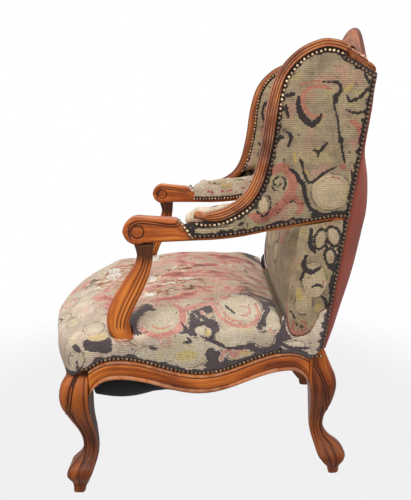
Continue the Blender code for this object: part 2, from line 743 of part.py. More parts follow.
def spring(name, x, y, low, high, finish):
    """A waisted coil spring of one unbroken wire, standing on the webbing."""
    curve = bpy.data.curves.new(name, "CURVE")
    curve.dimensions = "3D"
    curve.bevel_depth = WIRE_RADIUS
    curve.bevel_resolution = 0
    curve.use_fill_caps = True
    count = SPRING_TURNS * SPRING_STEPS
    wire = curve.splines.new("POLY")
    wire.points.add(count)
    points = []
    for i in range(count + 1):
        t = i / count
        turn = 2 * math.pi * SPRING_TURNS * t
        radius = SPRING_WAIST_RADIUS + (SPRING_END_RADIUS - SPRING_WAIST_RADIUS) * (2 * t - 1) ** 2
        z = low + WIRE_RADIUS + (high - low - 2 * WIRE_RADIUS) * t
        points.append(Vector((x + radius * math.cos(turn), y + radius * math.sin(turn), z)))
        wire.points[i].co = (*points[i], 1.0)
    curve.materials.append(finish)
    made = bpy.data.objects.new(name, curve)
    bpy.context.scene.collection.objects.link(made)
    apart = min((a - b).length for a, b in zip(points, points[SPRING_STEPS:]))
    return apart - 2 * WIRE_RADIUS


def seat_springs(finish):
    """Nine springs on every second crossing of the webbing."""
    low = RAIL_CORE_BOTTOM + STRAP_WEAVE
    gaps = []
    for row, y in enumerate(STRAP_YS[::2]):
        for column, x in enumerate(STRAP_XS[::2]):
            gaps.append(spring(f"seat_spring_{3 * row + column + 1}", x, y, low, RAIL_TOP, finish))
    print(f"least gap between the turns of a spring {min(gaps) * 1000:.2f} mm")


def spring_canvas(finish):
    """The canvas over the springs, tacked on top of the rails."""
    inset = 0.034
    rear = SHOULDER_Y - 0.001
    half = side_x(SHOULDER_Y) - inset
    outline = [(-half, rear), (half, rear)]
    outline.append((side_x(LEG_INNER_Y) - inset, LEG_INNER_Y))
    outline += [(x, front_y(x) + 0.014) for x in spread(LEG_INNER_X, -LEG_INNER_X, 9)]
    outline.append((-side_x(LEG_INNER_Y) + inset, LEG_INNER_Y))
    low = RAIL_TOP + GAP
    rings = [[(x, y, z) for x, y in outline] for z in (low, low + CANVAS_THICK)]
    return loft("spring_canvas", rings, finish)


def back_cushion(finish):
    """The stuffed inside back: square-sided under the arms, rolled above them, arched under the crest."""
    rings = []
    for z, inset, depth in BACK_STUFFING:
        half = side_x(stile_front(z)) - inset
        share = max(0.0, (z - 0.72) / (BACK_STUFFING[-1][0] - 0.72))
        side_share = 0.16 + 0.62 * (1 - ease((z - 0.600) / 0.050))
        fill = 0.034 * ease((z - 0.88) / 0.06)
        front = []
        for u in spread(-1.0, 1.0, 15):
            steep = math.copysign(abs(u) ** 0.7, u)
            x = half * steep
            height = z + share * under_crest(x)
            thick = depth * (side_share + (1 - side_share) * (1 - abs(steep) ** 4) ** 0.6)
            front.append((x, stile_front(height) - 0.0028 - thick, height))
        rear_line = []
        for x in spread(half, -half, 7):
            height = z + share * under_crest(x)
            rear_line.append((x, stile_front(height) - 0.0028 + fill, height))
        rings.append(front + rear_line)
    return loft("back_cushion", rings, finish)


def outside_back(finish):
    """The outside back cover over its stuffing, swollen behind the stiles."""
    rings = []
    for z, swell in BACK_SWELL:
        share = max(0.0, (z - 0.72) / (BACK_SWELL[-1][0] - 0.72))
        half = side_x(stile_rear(z)) - 0.004
        rear, front = [], []
        for u in spread(-1.0, 1.0, 15):
            steep = math.copysign(abs(u) ** 0.85, u)
            x = half * steep
            height = z + share * under_crest(x)
            level = stile_rear(height) + 0.0005
            rear.append((x, level + 0.0035 + BACK_BULGE * swell * (1 - abs(steep) ** 4), height))
        for x in spread(half, -half, 7):
            height = z + share * under_crest(x)
            front.append((x, stile_rear(height) + 0.0005, height))
        rings.append(rear + front)
    return loft("outside_back", rings, finish)


def back_straps(finish):
    """Webbing across the front of the stiles."""
    under_arm = ARM_LOW[-1][1] - BACK_STRAP_BELOW
    for i, z in enumerate((under_arm - BACK_STRAP_PITCH, under_arm, ARM_HIGH[-1][1] + BACK_STRAP_ABOVE)):
        reach = side_x(stile_front(z)) - 0.020
        rings = []
        for x in (-reach, reach):
            ring = []
            for dz in (-STRAP_WIDE / 2, STRAP_WIDE / 2):
                ring.append((x, stile_front(z + dz) - GAP, z + dz))
            for dz in (STRAP_WIDE / 2, -STRAP_WIDE / 2):
                ring.append((x, stile_front(z + dz) - GAP - STRAP_THICK, z + dz))
            rings.append(ring)
        loft(f"back_strap_{i + 1}", rings, finish)


def cover(name, side, outline, inner, outer, crown, finish):
    """An upholstered panel in the side plane with a drawn-in outer face."""
    edge = shrunk(outline, abs(crown) + 0.003)
    layers = ((outline, inner), (outline, outer), (edge, outer + crown))
    rings = [[(side_x(y) + n, y, z) for y, z in points] for points, n in layers]
    return loft(name, mirrored(rings, side), finish)


def tongue_line():
    """The rounded foot of the back's side cover as (depth, height) points, front to rear."""
    return smooth_path([(SEAT_REAR + y, RAIL_TOP + rise) for y, rise in TONGUE], 2)


def back_side(side, tag, finish):
    """The covered side of the back, from its rounded foot over the seat up to the arm."""
    outline = tongue_line()
    foot = RAIL_TOP + 0.064
    outline.append((stile_rear(foot) - 0.002, foot))
    top_rear = 0.658
    outline.append((stile_rear(top_rear) - 0.002, top_rear))
    end = stile_front(ARM_JOINT)
    outline += [(y, smooth_at(ARM_LOW, y)[0] - 0.001) for y in spread(end, 0.214, 3)]
    outline.append((SEAT_REAR + 0.008, 0.500))
    return cover(f"back_side_{tag}", side, outline, GAP, 0.004, 0.003, finish)


def seat_return(side, tag, finish):
    """The seat cover's end, which runs back under the side of the back to the post."""
    front = SEAT_REAR + 0.0022
    outline = [(y, side_rail_edges(y)[1] + GAP) for y in spread(front, SHOULDER_Y, 5)]
    foot = STILE_FOOT + 0.007
    outline.append((stile_rear(foot) - 0.002, foot))
    top = RAIL_TOP + 0.060
    outline.append((stile_rear(top) - 0.002, top))
    for y, z in reversed(tongue_line()):
        if y > front + 0.003:
            outline.append((y - 0.0006, z - 0.0022))
    outline.append((front, RAIL_TOP + 0.034))
    return cover(f"seat_return_{tag}", side, outline, GAP, 0.004, 0.003, finish)


def wing_outside(side, tag, finish):
    """The outside cover from the arm's lower edge up to the wing rail and crest."""
    lip = 0.006
    end = stile_front(ARM_JOINT)
    outline = [(y, smooth_at(ARM_LOW, y)[0] + lip) for y in spread(-0.030, end, 7)]
    outline.append((stile_rear(0.666) - 0.002, 0.666))
    front, _, low, _, lift = crest_section(CREST_REACH)
    outline.append((stile_rear(low) - 0.002, low - 0.003))
    outline.append((front - 0.003, low + lift - 0.003))
    edge = [point for point in wing_edge(0.0015) if 0.004 < point[0] < front - 0.006]
    outline += list(reversed(edge))
    outline.append((ARM_COVER_START + 0.004, edge[0][1] - 0.006))
    return cover(f"wing_outside_{tag}", side, outline, GAP, 0.004, 0.003, finish)


def wing_inside(side, tag, finish):
    """The stuffed inside face of a wing above the arm pad."""
    def pad_top(y):
        return smooth_at(ARM_HIGH, y)[0] + ARM_PAD_RISE + 0.003

    front, _, low, _, lift = crest_section(CREST_REACH)
    edge = []
    for y, z in wing_edge(0.0015):
        if z > pad_top(y) and y < front - 0.020:
            edge.append((y, z))
    rear = stile_front(pad_top(SHOULDER_Y)) - 0.0015
    outline = [(y, pad_top(y)) for y in spread(edge[0][0] + 0.004, rear, 5)]
    outline.append((stile_front(low - 0.005) - 0.0015, low - 0.005))
    outline.append((front - 0.012, low + lift - 0.008))
    outline += list(reversed(edge))
    return cover(f"wing_inside_{tag}", side, outline, -0.001, -0.040, -0.010, finish)


def arm_pad(side, tag, finish):
    """A stuffed pad over the top and inner face of an arm."""
    end = SHOULDER_Y - 0.016
    rings = []
    for y in spread(ARM_COVER_START + 0.003, end, 11):
        nose = ease((y - ARM_COVER_START + 0.012) / 0.050)
        top = smooth_at(ARM_HIGH, y)[0] + 0.0012
        low = smooth_at(ARM_LOW, y)[0] + 0.008
        inner = -ARM_WIDTH - GAP
        outer = -WING_IN - 0.002
        rise = ARM_PAD_RISE * (0.35 + 0.65 * nose)
        rise += 0.006 * ease((y + 0.005) / 0.05) * (1 - ease((y - 0.060) / 0.045))
        skin = 0.006 + 0.006 * nose
        ring = [
            (inner, low), (inner - skin * 0.7, low),
            (inner - skin, (low + top) / 2), (inner - skin, top + 0.35 * rise),
            (inner - 0.4 * skin, top + 0.80 * rise), (inner + 0.010, top + rise),
            (outer - 0.006, top + 0.85 * rise),
            (outer, top + 0.45 * rise), (outer, top), (inner, top),
        ]
        rings.append([(side_x(y) + n, y, z) for n, z in ring])
    return loft(f"arm_pad_{tag}", mirrored(rings, side), finish)


def build_frame(wood, plain):
    """Every wooden piece, joined with tenons."""
    pieces = {"front_rail": front_rail(wood), "crest_rail": crest_rail(wood)}
    rear_front = SHOULDER_Y + 0.004
    back_reach = POST_INNER_X - SIDE_TAPER * BACK_RAIL_THICK / 2 - GAP
    pieces["back_rail"] = back_rail(rear_front, plain)
    stile_inner = side_x(stile_front(LOWER_RAIL) + STILE_DEPTH / 2) - STILE_WIDTH - 0.004
    lean_low, lean_high = stile_front(LOWER_RAIL) + 0.010, stile_front(LOWER_RAIL) + 0.032
    pieces["lower_back_rail"] = block("lower_back_rail", (-stile_inner, lean_low, LOWER_RAIL),
                                      (stile_inner, lean_high, LOWER_RAIL + LOWER_RAIL_HEIGHT), plain)
    for side, tag in SIDES:
        leg = front_leg(side, tag, wood)
        post = back_post(side, tag, wood)
        rail = side_rail(side, tag, wood)
        rest = loft(f"arm_post_{tag}", mirrored(arm_post_rings(0.0), side), wood)
        hand = arm(side, tag, wood)
        wing = wing_rail(side, tag, wood)
        pieces[f"arm_post_{tag}"] = rest

        rail_front_x = side_x(LEG_INNER_Y) - 0.030
        tenon(rail, leg, (side * (rail_front_x - 0.005), LEG_INNER_Y - TENON_LONG, RAIL_TENON_LOW),
              (side * (rail_front_x + 0.005), LEG_INNER_Y + 0.010, RAIL_TENON_HIGH), wood)
        rail_back_x = side_x(SHOULDER_Y) - 0.024
        tenon(rail, post, (side * (rail_back_x - 0.005), SHOULDER_Y - 0.010, RAIL_TENON_LOW),
              (side * (rail_back_x + 0.005), SHOULDER_Y + TENON_LONG, RAIL_TENON_HIGH), wood)
        front_face = front_y(LEG_INNER_X)
        tenon(pieces["front_rail"], leg, (side * (LEG_INNER_X - 0.003), front_face + 0.027, RAIL_TENON_LOW),
              (side * (LEG_INNER_X + TENON_LONG), front_face + 0.036, RAIL_TENON_HIGH), wood)
        tenon(pieces["back_rail"], post, (side * (back_reach - 0.010), rear_front + 0.010, RAIL_TENON_LOW),
              (side * (back_reach + TENON_LONG), rear_front + 0.020, RAIL_TENON_HIGH), wood)
        tongue_low = (side * (stile_inner - 0.010), lean_low + 0.006, LOWER_RAIL + 0.008)
        tongue_top = LOWER_RAIL + LOWER_RAIL_HEIGHT - 0.009
        tongue_high = (side * (stile_inner + TENON_LONG), lean_low + 0.016, tongue_top)
        tenon(pieces["lower_back_rail"], post, tongue_low, tongue_high, wood)
        post_top = CREST_END - CREST_END_HEIGHT
        top_mid = (stile_front(post_top) + stile_rear(post_top)) / 2
        post_x = side_x(top_mid) - STILE_WIDTH / 2
        tenon(post, pieces["crest_rail"], (side * (post_x - 0.010), top_mid - 0.006, post_top - 0.012),
              (side * (post_x + 0.010), top_mid + 0.006, post_top + 0.016), wood)
        rest_y = -0.190
        rest_x = side_x(rest_y) - 0.019
        tenon(rest, rail, (side * (rest_x - 0.006), rest_y - 0.012, RAIL_TOP - 0.026),
              (side * (rest_x + 0.006), rest_y + 0.012, RAIL_TOP + 0.008), wood)
        hold_y = -0.136
        hold_x = side_x(hold_y) - 0.024
        tenon(rest, hand, (side * (hold_x - 0.008), hold_y - 0.009, SCROLL_Z - SCROLL_RADIUS - 0.011),
              (side * (hold_x + 0.008), hold_y + 0.009, SCROLL_Z - 0.010), wood)
        hand_x = side_x(stile_front(ARM_JOINT)) - ARM_WIDTH / 2
        tenon(hand, post, (side * (hand_x - 0.008), stile_front(ARM_JOINT) - 0.012, ARM_JOINT - 0.012),
              (side * (hand_x + 0.008), stile_front(ARM_JOINT) + TENON_LONG, ARM_JOINT + 0.012), wood)
        wing_y = 0.034
        wing_x = side_x(wing_y) - 0.014
        arm_top = smooth_at(ARM_HIGH, wing_y)[0]
        tenon(wing, hand, (side * (wing_x - 0.005), wing_y - 0.010, arm_top - 0.016),
              (side * (wing_x + 0.005), wing_y + 0.010, arm_top + 0.016), wood)
        crest_x = CREST_REACH - 0.015
        tenon(wing, pieces["crest_rail"], (side * (crest_x - 0.006), WING_END_Y - 0.008, WING_END - 0.006),
              (side * (crest_x + 0.006), WING_END_Y + 0.012, WING_END), wood)

        front_inner = side_x(LEG_INNER_Y + 0.001) - RAIL_THICK - GAP
        reach_y = LEG_INNER_Y + 0.064
        reach_x = LEG_INNER_X - 0.062
        corner_block(f"corner_block_front_{tag}", side, (
            (front_inner, LEG_INNER_Y + GAP), (side_x(reach_y) - RAIL_THICK - GAP, reach_y),
            (reach_x, front_y(reach_x) + RAIL_THICK + GAP),
            (LEG_INNER_X - GAP, front_y(LEG_INNER_X) + RAIL_THICK + GAP),
            (LEG_INNER_X - GAP, LEG_INNER_Y + GAP),
        ), plain)
        inner_back = side_x(SHOULDER_Y) - RAIL_THICK - GAP
        corner_block(f"corner_block_back_{tag}", side, (
            (inner_back, SHOULDER_Y - GAP),
            (side_x(SHOULDER_Y - 0.060) - RAIL_THICK - GAP, SHOULDER_Y - 0.060),
            (POST_INNER_X - 0.060, rear_front - GAP), (POST_INNER_X - GAP, rear_front - GAP),
            (POST_INNER_X - GAP, SHOULDER_Y - GAP),
        ), plain)
    return pieces


def build_upholstery():
    """Webbing, springs, stuffing and covers."""
    jute = material("jute webbing", (0.42, 0.30, 0.17), 0.9)
    steel = material("spring steel", (0.35, 0.34, 0.33), 0.4, 1.0)
    canvas = material("canvas", (0.55, 0.45, 0.30), 0.95)
    tapestry = material("tapestry", (0.46, 0.34, 0.24), 0.95)
    rust = material("rust cloth", (0.38, 0.10, 0.05), 0.95)
    black = material("black cloth", (0.02, 0.02, 0.02), 0.95)
    seat_straps(jute)
    seat_springs(steel)
    spring_canvas(canvas)
    dust_cover(black)
    back_straps(jute)
    seat = seat_cushion(tapestry)
    back_cushion(tapestry)
    outside_back(rust)
    for side, tag in SIDES:
        cut = loft(f"arm_post_cut_{tag}", mirrored(arm_post_rings(0.001), side), tapestry)
        boolean(seat, cut, "DIFFERENCE")
        seat_return(side, tag, tapestry)
        back_side(side, tag, tapestry)
        wing_outside(side, tag, tapestry)
        wing_inside(side, tag, tapestry)
        arm_pad(side, tag, tapestry)


def main():
    """Builds the chair."""
    clear_scene()
    carved = material("carved wood", (0.30, 0.13, 0.05), 0.45)
    build_frame(carved, material("plain wood", (0.45, 0.30, 0.17), 0.7))
    build_upholstery()


main()
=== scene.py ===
"""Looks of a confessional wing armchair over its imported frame.

Carved wood, worn tapestry covers, stuffing and nail lines are separate pieces in metres, +Z up. The
chair faces -Y and its left side is at +X.
"""

import logging
import math
from dataclasses import dataclass, field
from enum import Enum

import bmesh
import bpy
import numpy as np
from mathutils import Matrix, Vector


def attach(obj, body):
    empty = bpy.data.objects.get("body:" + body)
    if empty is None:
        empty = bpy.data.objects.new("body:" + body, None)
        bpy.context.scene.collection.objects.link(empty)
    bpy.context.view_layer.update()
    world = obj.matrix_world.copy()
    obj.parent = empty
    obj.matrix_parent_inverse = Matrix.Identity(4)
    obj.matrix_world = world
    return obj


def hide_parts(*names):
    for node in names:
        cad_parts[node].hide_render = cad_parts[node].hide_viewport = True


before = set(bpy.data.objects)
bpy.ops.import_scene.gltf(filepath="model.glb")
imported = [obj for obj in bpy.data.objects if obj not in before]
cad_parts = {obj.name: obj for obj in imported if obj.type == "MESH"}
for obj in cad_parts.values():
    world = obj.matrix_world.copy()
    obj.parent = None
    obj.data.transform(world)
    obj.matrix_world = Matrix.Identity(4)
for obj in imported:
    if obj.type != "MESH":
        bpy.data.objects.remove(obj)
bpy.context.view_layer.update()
log = logging.getLogger("confessional_chair")

Array = np.ndarray
Colour = tuple[float, float, float, float]
Rows = tuple[tuple[float, ...], ...]
Path = list[tuple[float, float]]
Mesh = bpy.types.Mesh
Material = bpy.types.Material


class Side(Enum):
    """A side of the chair as the sitter names it, with its sign along X."""

    LEFT = 1
    RIGHT = -1

    @property
    def tag(self) -> str:
        """The side's word in a piece's name."""
        return self.name.lower()


class Slot(Enum):
    """Material slots of the record that new pieces fill."""

    CARVED = "carved_wood"
    TAPESTRY = "tapestry"
    RUST = "rust_cloth"
    BLACK = "black_cloth"


class Wool(Enum):
    """Wools of the tapestry, as channels of a cover's drawing."""

    PINK = 0
    LEAF = 1
    DARK = 2
    OCHRE = 3


PINK, LEAF, DARK, OCHRE = Wool


def srgb(red: int, green: int, blue: int) -> Colour:
    """A colour as it looks on a screen, in linear light.

    Args:
        red: Red from 0 to 255.
        green: Green from 0 to 255.
        blue: Blue from 0 to 255.

    Returns:
        Linear red, green, blue and full alpha.
    """
    parts = []
    for value in (red, green, blue):
        share = value / 255
        parts.append(share / 12.92 if share <= 0.04045 else ((share + 0.055) / 1.055) ** 2.4)
    return (parts[0], parts[1], parts[2], 1.0)


def ease(values: Array | float) -> Array:
    """Values held between 0 and 1 with a soft start and end."""
    t = np.clip(values, 0.0, 1.0)
    return t * t * (3 - 2 * t)


def bump(distance: Array, width: float) -> Array:
    """A round bump of height 1 that is gone about two widths from its middle."""
    return np.exp(-((distance / width) ** 2))


def smooth_at(rows: Rows, keys: Array | float) -> Array:
    """Values of a table on a smooth curve through its rows.

    Args:
        rows: Rows of a rising key and its values.
        keys: Keys to read at.

    Returns:
        One row of values for each key.
    """
    table = np.asarray(rows, float)
    keys = np.clip(np.atleast_1d(np.asarray(keys, float)), table[0, 0], table[-1, 0])
    i = np.clip(np.searchsorted(table[:, 0], keys, side="right") - 1, 0, len(table) - 2)
    low, high = table[i], table[i + 1]
    before, after = table[np.maximum(i - 1, 0)], table[np.minimum(i + 2, len(table) - 1)]
    span = high[:, :1] - low[:, :1]
    t = (keys[:, None] - low[:, :1]) / span
    rise_low = (high - before) / (high[:, :1] - before[:, :1]) * span
    rise_high = (after - low) / (after[:, :1] - low[:, :1]) * span
    curve = low * (2 * t**3 - 3 * t**2 + 1) + rise_low * (t**3 - 2 * t**2 + t)
    curve += high * (3 * t**2 - 2 * t**3) + rise_high * (t**3 - t**2)
    return curve[:, 1:]


def smooth_path(points: Path | Array, count: int) -> Array:
    """Points along a smooth path through the given ones.

    Args:
        points: Points to pass through, two or three numbers each.
        count: How many points come back.

    Returns:
        The points along the path.
    """
    rows = tuple((float(i), *point) for i, point in enumerate(points))
    return smooth_at(rows, np.linspace(0.0, len(rows) - 1, count))


def along(path: Array) -> Array:
    """Distance along a path at each of its points."""
    steps = np.linalg.norm(np.diff(path, axis=0), axis=1)
    return np.concatenate([[0.0], np.cumsum(steps)])


def even(path: Array, count: int) -> Array:
    """The same path with evenly spaced points.

    Args:
        path: Points along the path.
        count: How many points come back.

    Returns:
        The evenly spaced points.
    """
    run = along(path)
    at = np.linspace(0.0, run[-1], count)
    return np.stack([np.interp(at, run, path[:, k]) for k in range(path.shape[1])], axis=1)


def far_from(path: Array, u: Array, v: Array) -> Array:
    """Distance from a path drawn in a plane.

    Args:
        path: Points of the path in the plane.
        u: First coordinates of the places measured.
        v: Second coordinates of the places measured.

    Returns:
        The distance from each place to the path.
    """
    best = np.full(np.shape(u), np.inf)
    for (a, b), (c, d) in zip(path[:-1], path[1:]):
        run = max((c - a) ** 2 + (d - b) ** 2, 1e-16)
        t = np.clip(((u - a) * (c - a) + (v - b) * (d - b)) / run, 0.0, 1.0)
        best = np.minimum(best, np.hypot(u - a - t * (c - a), v - b - t * (d - b)))
    return best


def ripple(points: Array, pitch: float, seed: int) -> Array:
    """A soft random swell between about -1 and 1.

    Args:
        points: Places in space.
        pitch: Distance between neighbouring swells.
        seed: Picks one swell pattern.

    Returns:
        The swell at each place.
    """
    dice = np.random.default_rng(seed)
    total = np.zeros(len(points))
    for _ in range(7):
        way = dice.normal(size=3)
        way *= 2 * math.pi / (pitch * dice.uniform(0.7, 1.6) * np.linalg.norm(way))
        total += np.sin(points @ way + dice.uniform(0, 2 * math.pi))
    return total / 3.2


class Val:
    """A shader socket that takes part in Python expressions."""

    def __init__(self, tree: "Tree", socket: bpy.types.NodeSocket) -> None:
        """Wraps a socket of a tree."""
        self.tree = tree
        self.socket = socket

    def _math(self, operation: str, first: "Val | float", second: "Val | float" = 0.0) -> "Val":
        """A Math node on two values."""
        return self.tree.node("ShaderNodeMath", {"operation": operation}, {0: first, 1: second})

    def __add__(self, other: "Val | float") -> "Val":
        """Sum."""
        return self._math("ADD", self, other)

    def __radd__(self, other: float) -> "Val":
        """Sum with a number on the left."""
        return self._math("ADD", other, self)

    def __sub__(self, other: "Val | float") -> "Val":
        """Difference."""
        return self._math("SUBTRACT", self, other)

    def __rsub__(self, other: float) -> "Val":
        """Difference from a number."""
        return self._math("SUBTRACT", other, self)

    def __mul__(self, other: "Val | float") -> "Val":
        """Product."""
        return self._math("MULTIPLY", self, other)

    def __neg__(self) -> "Val":
        """The value with its sign changed."""
        return self._math("MULTIPLY", self, -1.0)

    def sine(self) -> "Val":
        """The sine of the value."""
        return self._math("SINE", self)

    def most(self, other: "Val | float") -> "Val":
        """The larger of two values."""
        return self._math("MAXIMUM", self, other)

    def step(self, low: float, high: float) -> "Val":
        """A soft rise from 0 at low to 1 at high, or a fall where low is the larger."""
        settings = {"interpolation_type": "SMOOTHSTEP"}
        if low > high:
            return 1.0 - self.tree.node("ShaderNodeMapRange", settings, {0: self, 1: high, 2: low})
        return self.tree.node("ShaderNodeMapRange", settings, {0: self, 1: low, 2: high})


class Tree:
    """The shader tree of one new material."""

    def __init__(self, name: str) -> None:
        """Starts a material with a bare shader."""
        self.material = bpy.data.materials.new(name)
        self.material.use_nodes = True
        self.nodes = self.material.node_tree.nodes
        self.links = self.material.node_tree.links
        self.shader = self.nodes["Principled BSDF"]

    def feed(self, socket: bpy.types.NodeSocket, value: object) -> None:
        """Links a value to a socket, or sets the socket to a constant."""
        if isinstance(value, Val):
            self.links.new(value.socket, socket)
        else:
            socket.default_value = value

    def node(self, kind: str, settings: dict | None = None, inputs: dict | None = None,
             output: int | str = 0) -> Val:
        """A node of any kind.

        Args:
            kind: The node's type.
            settings: Its settings, set first. A ramp's stops are (place, colour) pairs.
            inputs: Values or links by socket number or name.
            output: The socket that comes back.

        Returns:
            The chosen output.
        """
        made = self.nodes.new(kind)
        for name, value in (settings or {}).items():
            if name == "stops":
                ramp = made.color_ramp.elements
                while len(ramp) < len(value):
                    ramp.new(1.0)
                for stop, (place, colour) in zip(ramp, value):
                    stop.position = place
                    stop.color = colour
            else:
                setattr(made, name, value)
        for key, value in (inputs or {}).items():
            self.feed(made.inputs[key], value)
        return Val(self, made.outputs[output])

    def mix(self, share: Val | float, first: object, second: object, blend: str = "MIX") -> Val:
        """A colour between two others.

        Args:
            share: 0 for the first colour, 1 for the second.
            first: The first colour.
            second: The second colour.
            blend: How the second colour goes over the first.

        Returns:
            The mixed colour.
        """
        settings = {"data_type": "RGBA", "blend_type": blend}
        return self.node("ShaderNodeMix", settings, {0: share, 6: first, 7: second}, 2)

    def ramp(self, value: Val, *stops: tuple[float, Colour]) -> Val:
        """A colour that follows a value through stops."""
        return self.node("ShaderNodeValToRGB", {"stops": stops}, {0: value})

    def scaled(self, vector: Val, factors: tuple[float, float, float]) -> Val:
        """A vector multiplied part by part."""
        return self.node("ShaderNodeVectorMath", {"operation": "MULTIPLY"}, {0: vector, 1: factors})

    def noise(self, vector: Val, scale: float, detail: float = 3.0, rough: float = 0.55) -> Val:
        """Soft noise from 0 to 1."""
        return self.node("ShaderNodeTexNoise", None,
                         {"Vector": vector, "Scale": scale, "Detail": detail, "Roughness": rough})

    def place(self) -> Val:
        """Places on the surface in the object's own metres."""
        return self.node("ShaderNodeTexCoord", None, None, "Object")

    def kept(self, name: str, output: str = "Vector") -> Val:
        """What the mesh keeps at its points under a name."""
        return self.node("ShaderNodeAttribute", {"attribute_name": name}, None, output)

    def parts(self, vector: Val) -> tuple[Val, Val, Val]:
        """The three numbers of a vector."""
        split = self.node("ShaderNodeSeparateXYZ", None, {0: vector})
        outputs = split.socket.node.outputs
        return Val(self, outputs[0]), Val(self, outputs[1]), Val(self, outputs[2])

    def surface(self, colour: object, roughness: object, height: Val | None = None, depth: float = 0.001,
                metallic: object = 0.0) -> Material:
        """Dresses the shader.

        Args:
            colour: Base colour.
            roughness: Roughness.
            height: Height of the small relief, from 0 to 1.
            depth: Depth of that relief in metres.
            metallic: 1 for metal.

        Returns:
            The finished material.
        """
        self.feed(self.shader.inputs["Base Color"], colour)
        self.feed(self.shader.inputs["Roughness"], roughness)
        self.feed(self.shader.inputs["Metallic"], metallic)
        if height is not None:
            relief = self.node("ShaderNodeBump", None, {"Strength": 1.0, "Distance": depth, "Height": height})
            self.feed(self.shader.inputs["Normal"], relief)
        return self.material


@dataclass(frozen=True)
class CarvedWood:
    """Waxed and worn carved wood, dark with dirt in its hollows and with painted shade on some faces, and paler on
    its edges with wear and a painted highlight.
    """

    name: str
    deep: Colour
    middle: Colour
    bright: Colour
    # Colour of the dirt in the hollows and of the painted shade.
    hollow: Colour = srgb(50, 24, 12)
    # Pale colour of worn edges and of painted highlights.
    worn: Colour = srgb(226, 184, 150)
    # Strength of the painted shade that darkens the wood toward the floor.
    low_shade: float = 0.0

    def material(self) -> Material:
        """The finish as a material."""
        tree = Tree(self.name)
        grain = tree.kept("grain")
        carved = tree.kept("hollow", "Fac")
        tone = tree.noise(tree.place(), 9.0, 2.0)
        streak = tree.noise(tree.scaled(grain, (5.0, 85.0, 1.0)), 1.0, 4.0, 0.6)
        pores = tree.noise(tree.scaled(grain, (60.0, 1300.0, 1.0)), 1.0, 2.0)
        colour = tree.ramp(streak * 0.62 + tone * 0.38 + pores * 0.06 - 0.02,
                           (0.38, self.deep), (0.50, self.middle), (0.62, self.bright))
        # Painted shade: the wood darkens toward the floor, from 0.34 m down to 0.14 m.
        if self.low_shade:
            shade_toward_floor = tree.parts(tree.place())[2].step(0.34, 0.14)
            colour = tree.mix(shade_toward_floor * self.low_shade, colour, self.hollow)
        # Dark with real dirt in carved hollows, and with painted shade where the mesh keeps shade, such as inner leg
        # faces and arm post tops.
        dirt_and_shade = (carved + (tone - 0.5) * 0.9).step(0.25, 1.5)
        colour = tree.mix(dirt_and_shade * 0.90, colour, self.hollow)
        # Paler on raised beads, reeds and edges: partly real wear, partly a painted highlight.
        rubbed = (-carved + (tree.noise(tree.place(), 55.0, 3.0) - 0.5) * 1.8).step(0.45, 1.3)
        colour = tree.mix(rubbed * 0.36, colour, self.worn)
        scratches = tree.noise(tree.scaled(grain, (40.0, 420.0, 1.0)), 1.0, 3.0)
        shine = 0.42 + (tone - 0.5) * 0.18 + dirt_and_shade * 0.22 + scratches * 0.08
        tree.feed(tree.shader.inputs["Specular IOR Level"], 0.22)
        tree.feed(tree.shader.inputs["Coat Weight"], 0.06)
        tree.feed(tree.shader.inputs["Coat Roughness"], 0.16)
        return tree.surface(colour, shine, streak * 0.35 + pores * 0.3 + scratches * 0.35, 0.0005)


@dataclass(frozen=True)
class PlainWood:
    """Sawn wood inside the frame."""

    name: str = "plain wood"
    pale: Colour = srgb(181, 146, 102)
    dark: Colour = srgb(121, 86, 52)

    def material(self) -> Material:
        """The finish as a material."""
        tree = Tree(self.name)
        streak = tree.noise(tree.scaled(tree.place(), (12.0, 70.0, 70.0)), 1.0, 4.0)
        saw = tree.noise(tree.scaled(tree.place(), (420.0, 30.0, 30.0)), 1.0, 2.0)
        colour = tree.ramp(streak * 0.8 + saw * 0.2, (0.3, self.dark), (0.7, self.pale))
        return tree.surface(colour, 0.62 + streak * 0.2, streak * 0.5 + saw * 0.5, 0.0005)


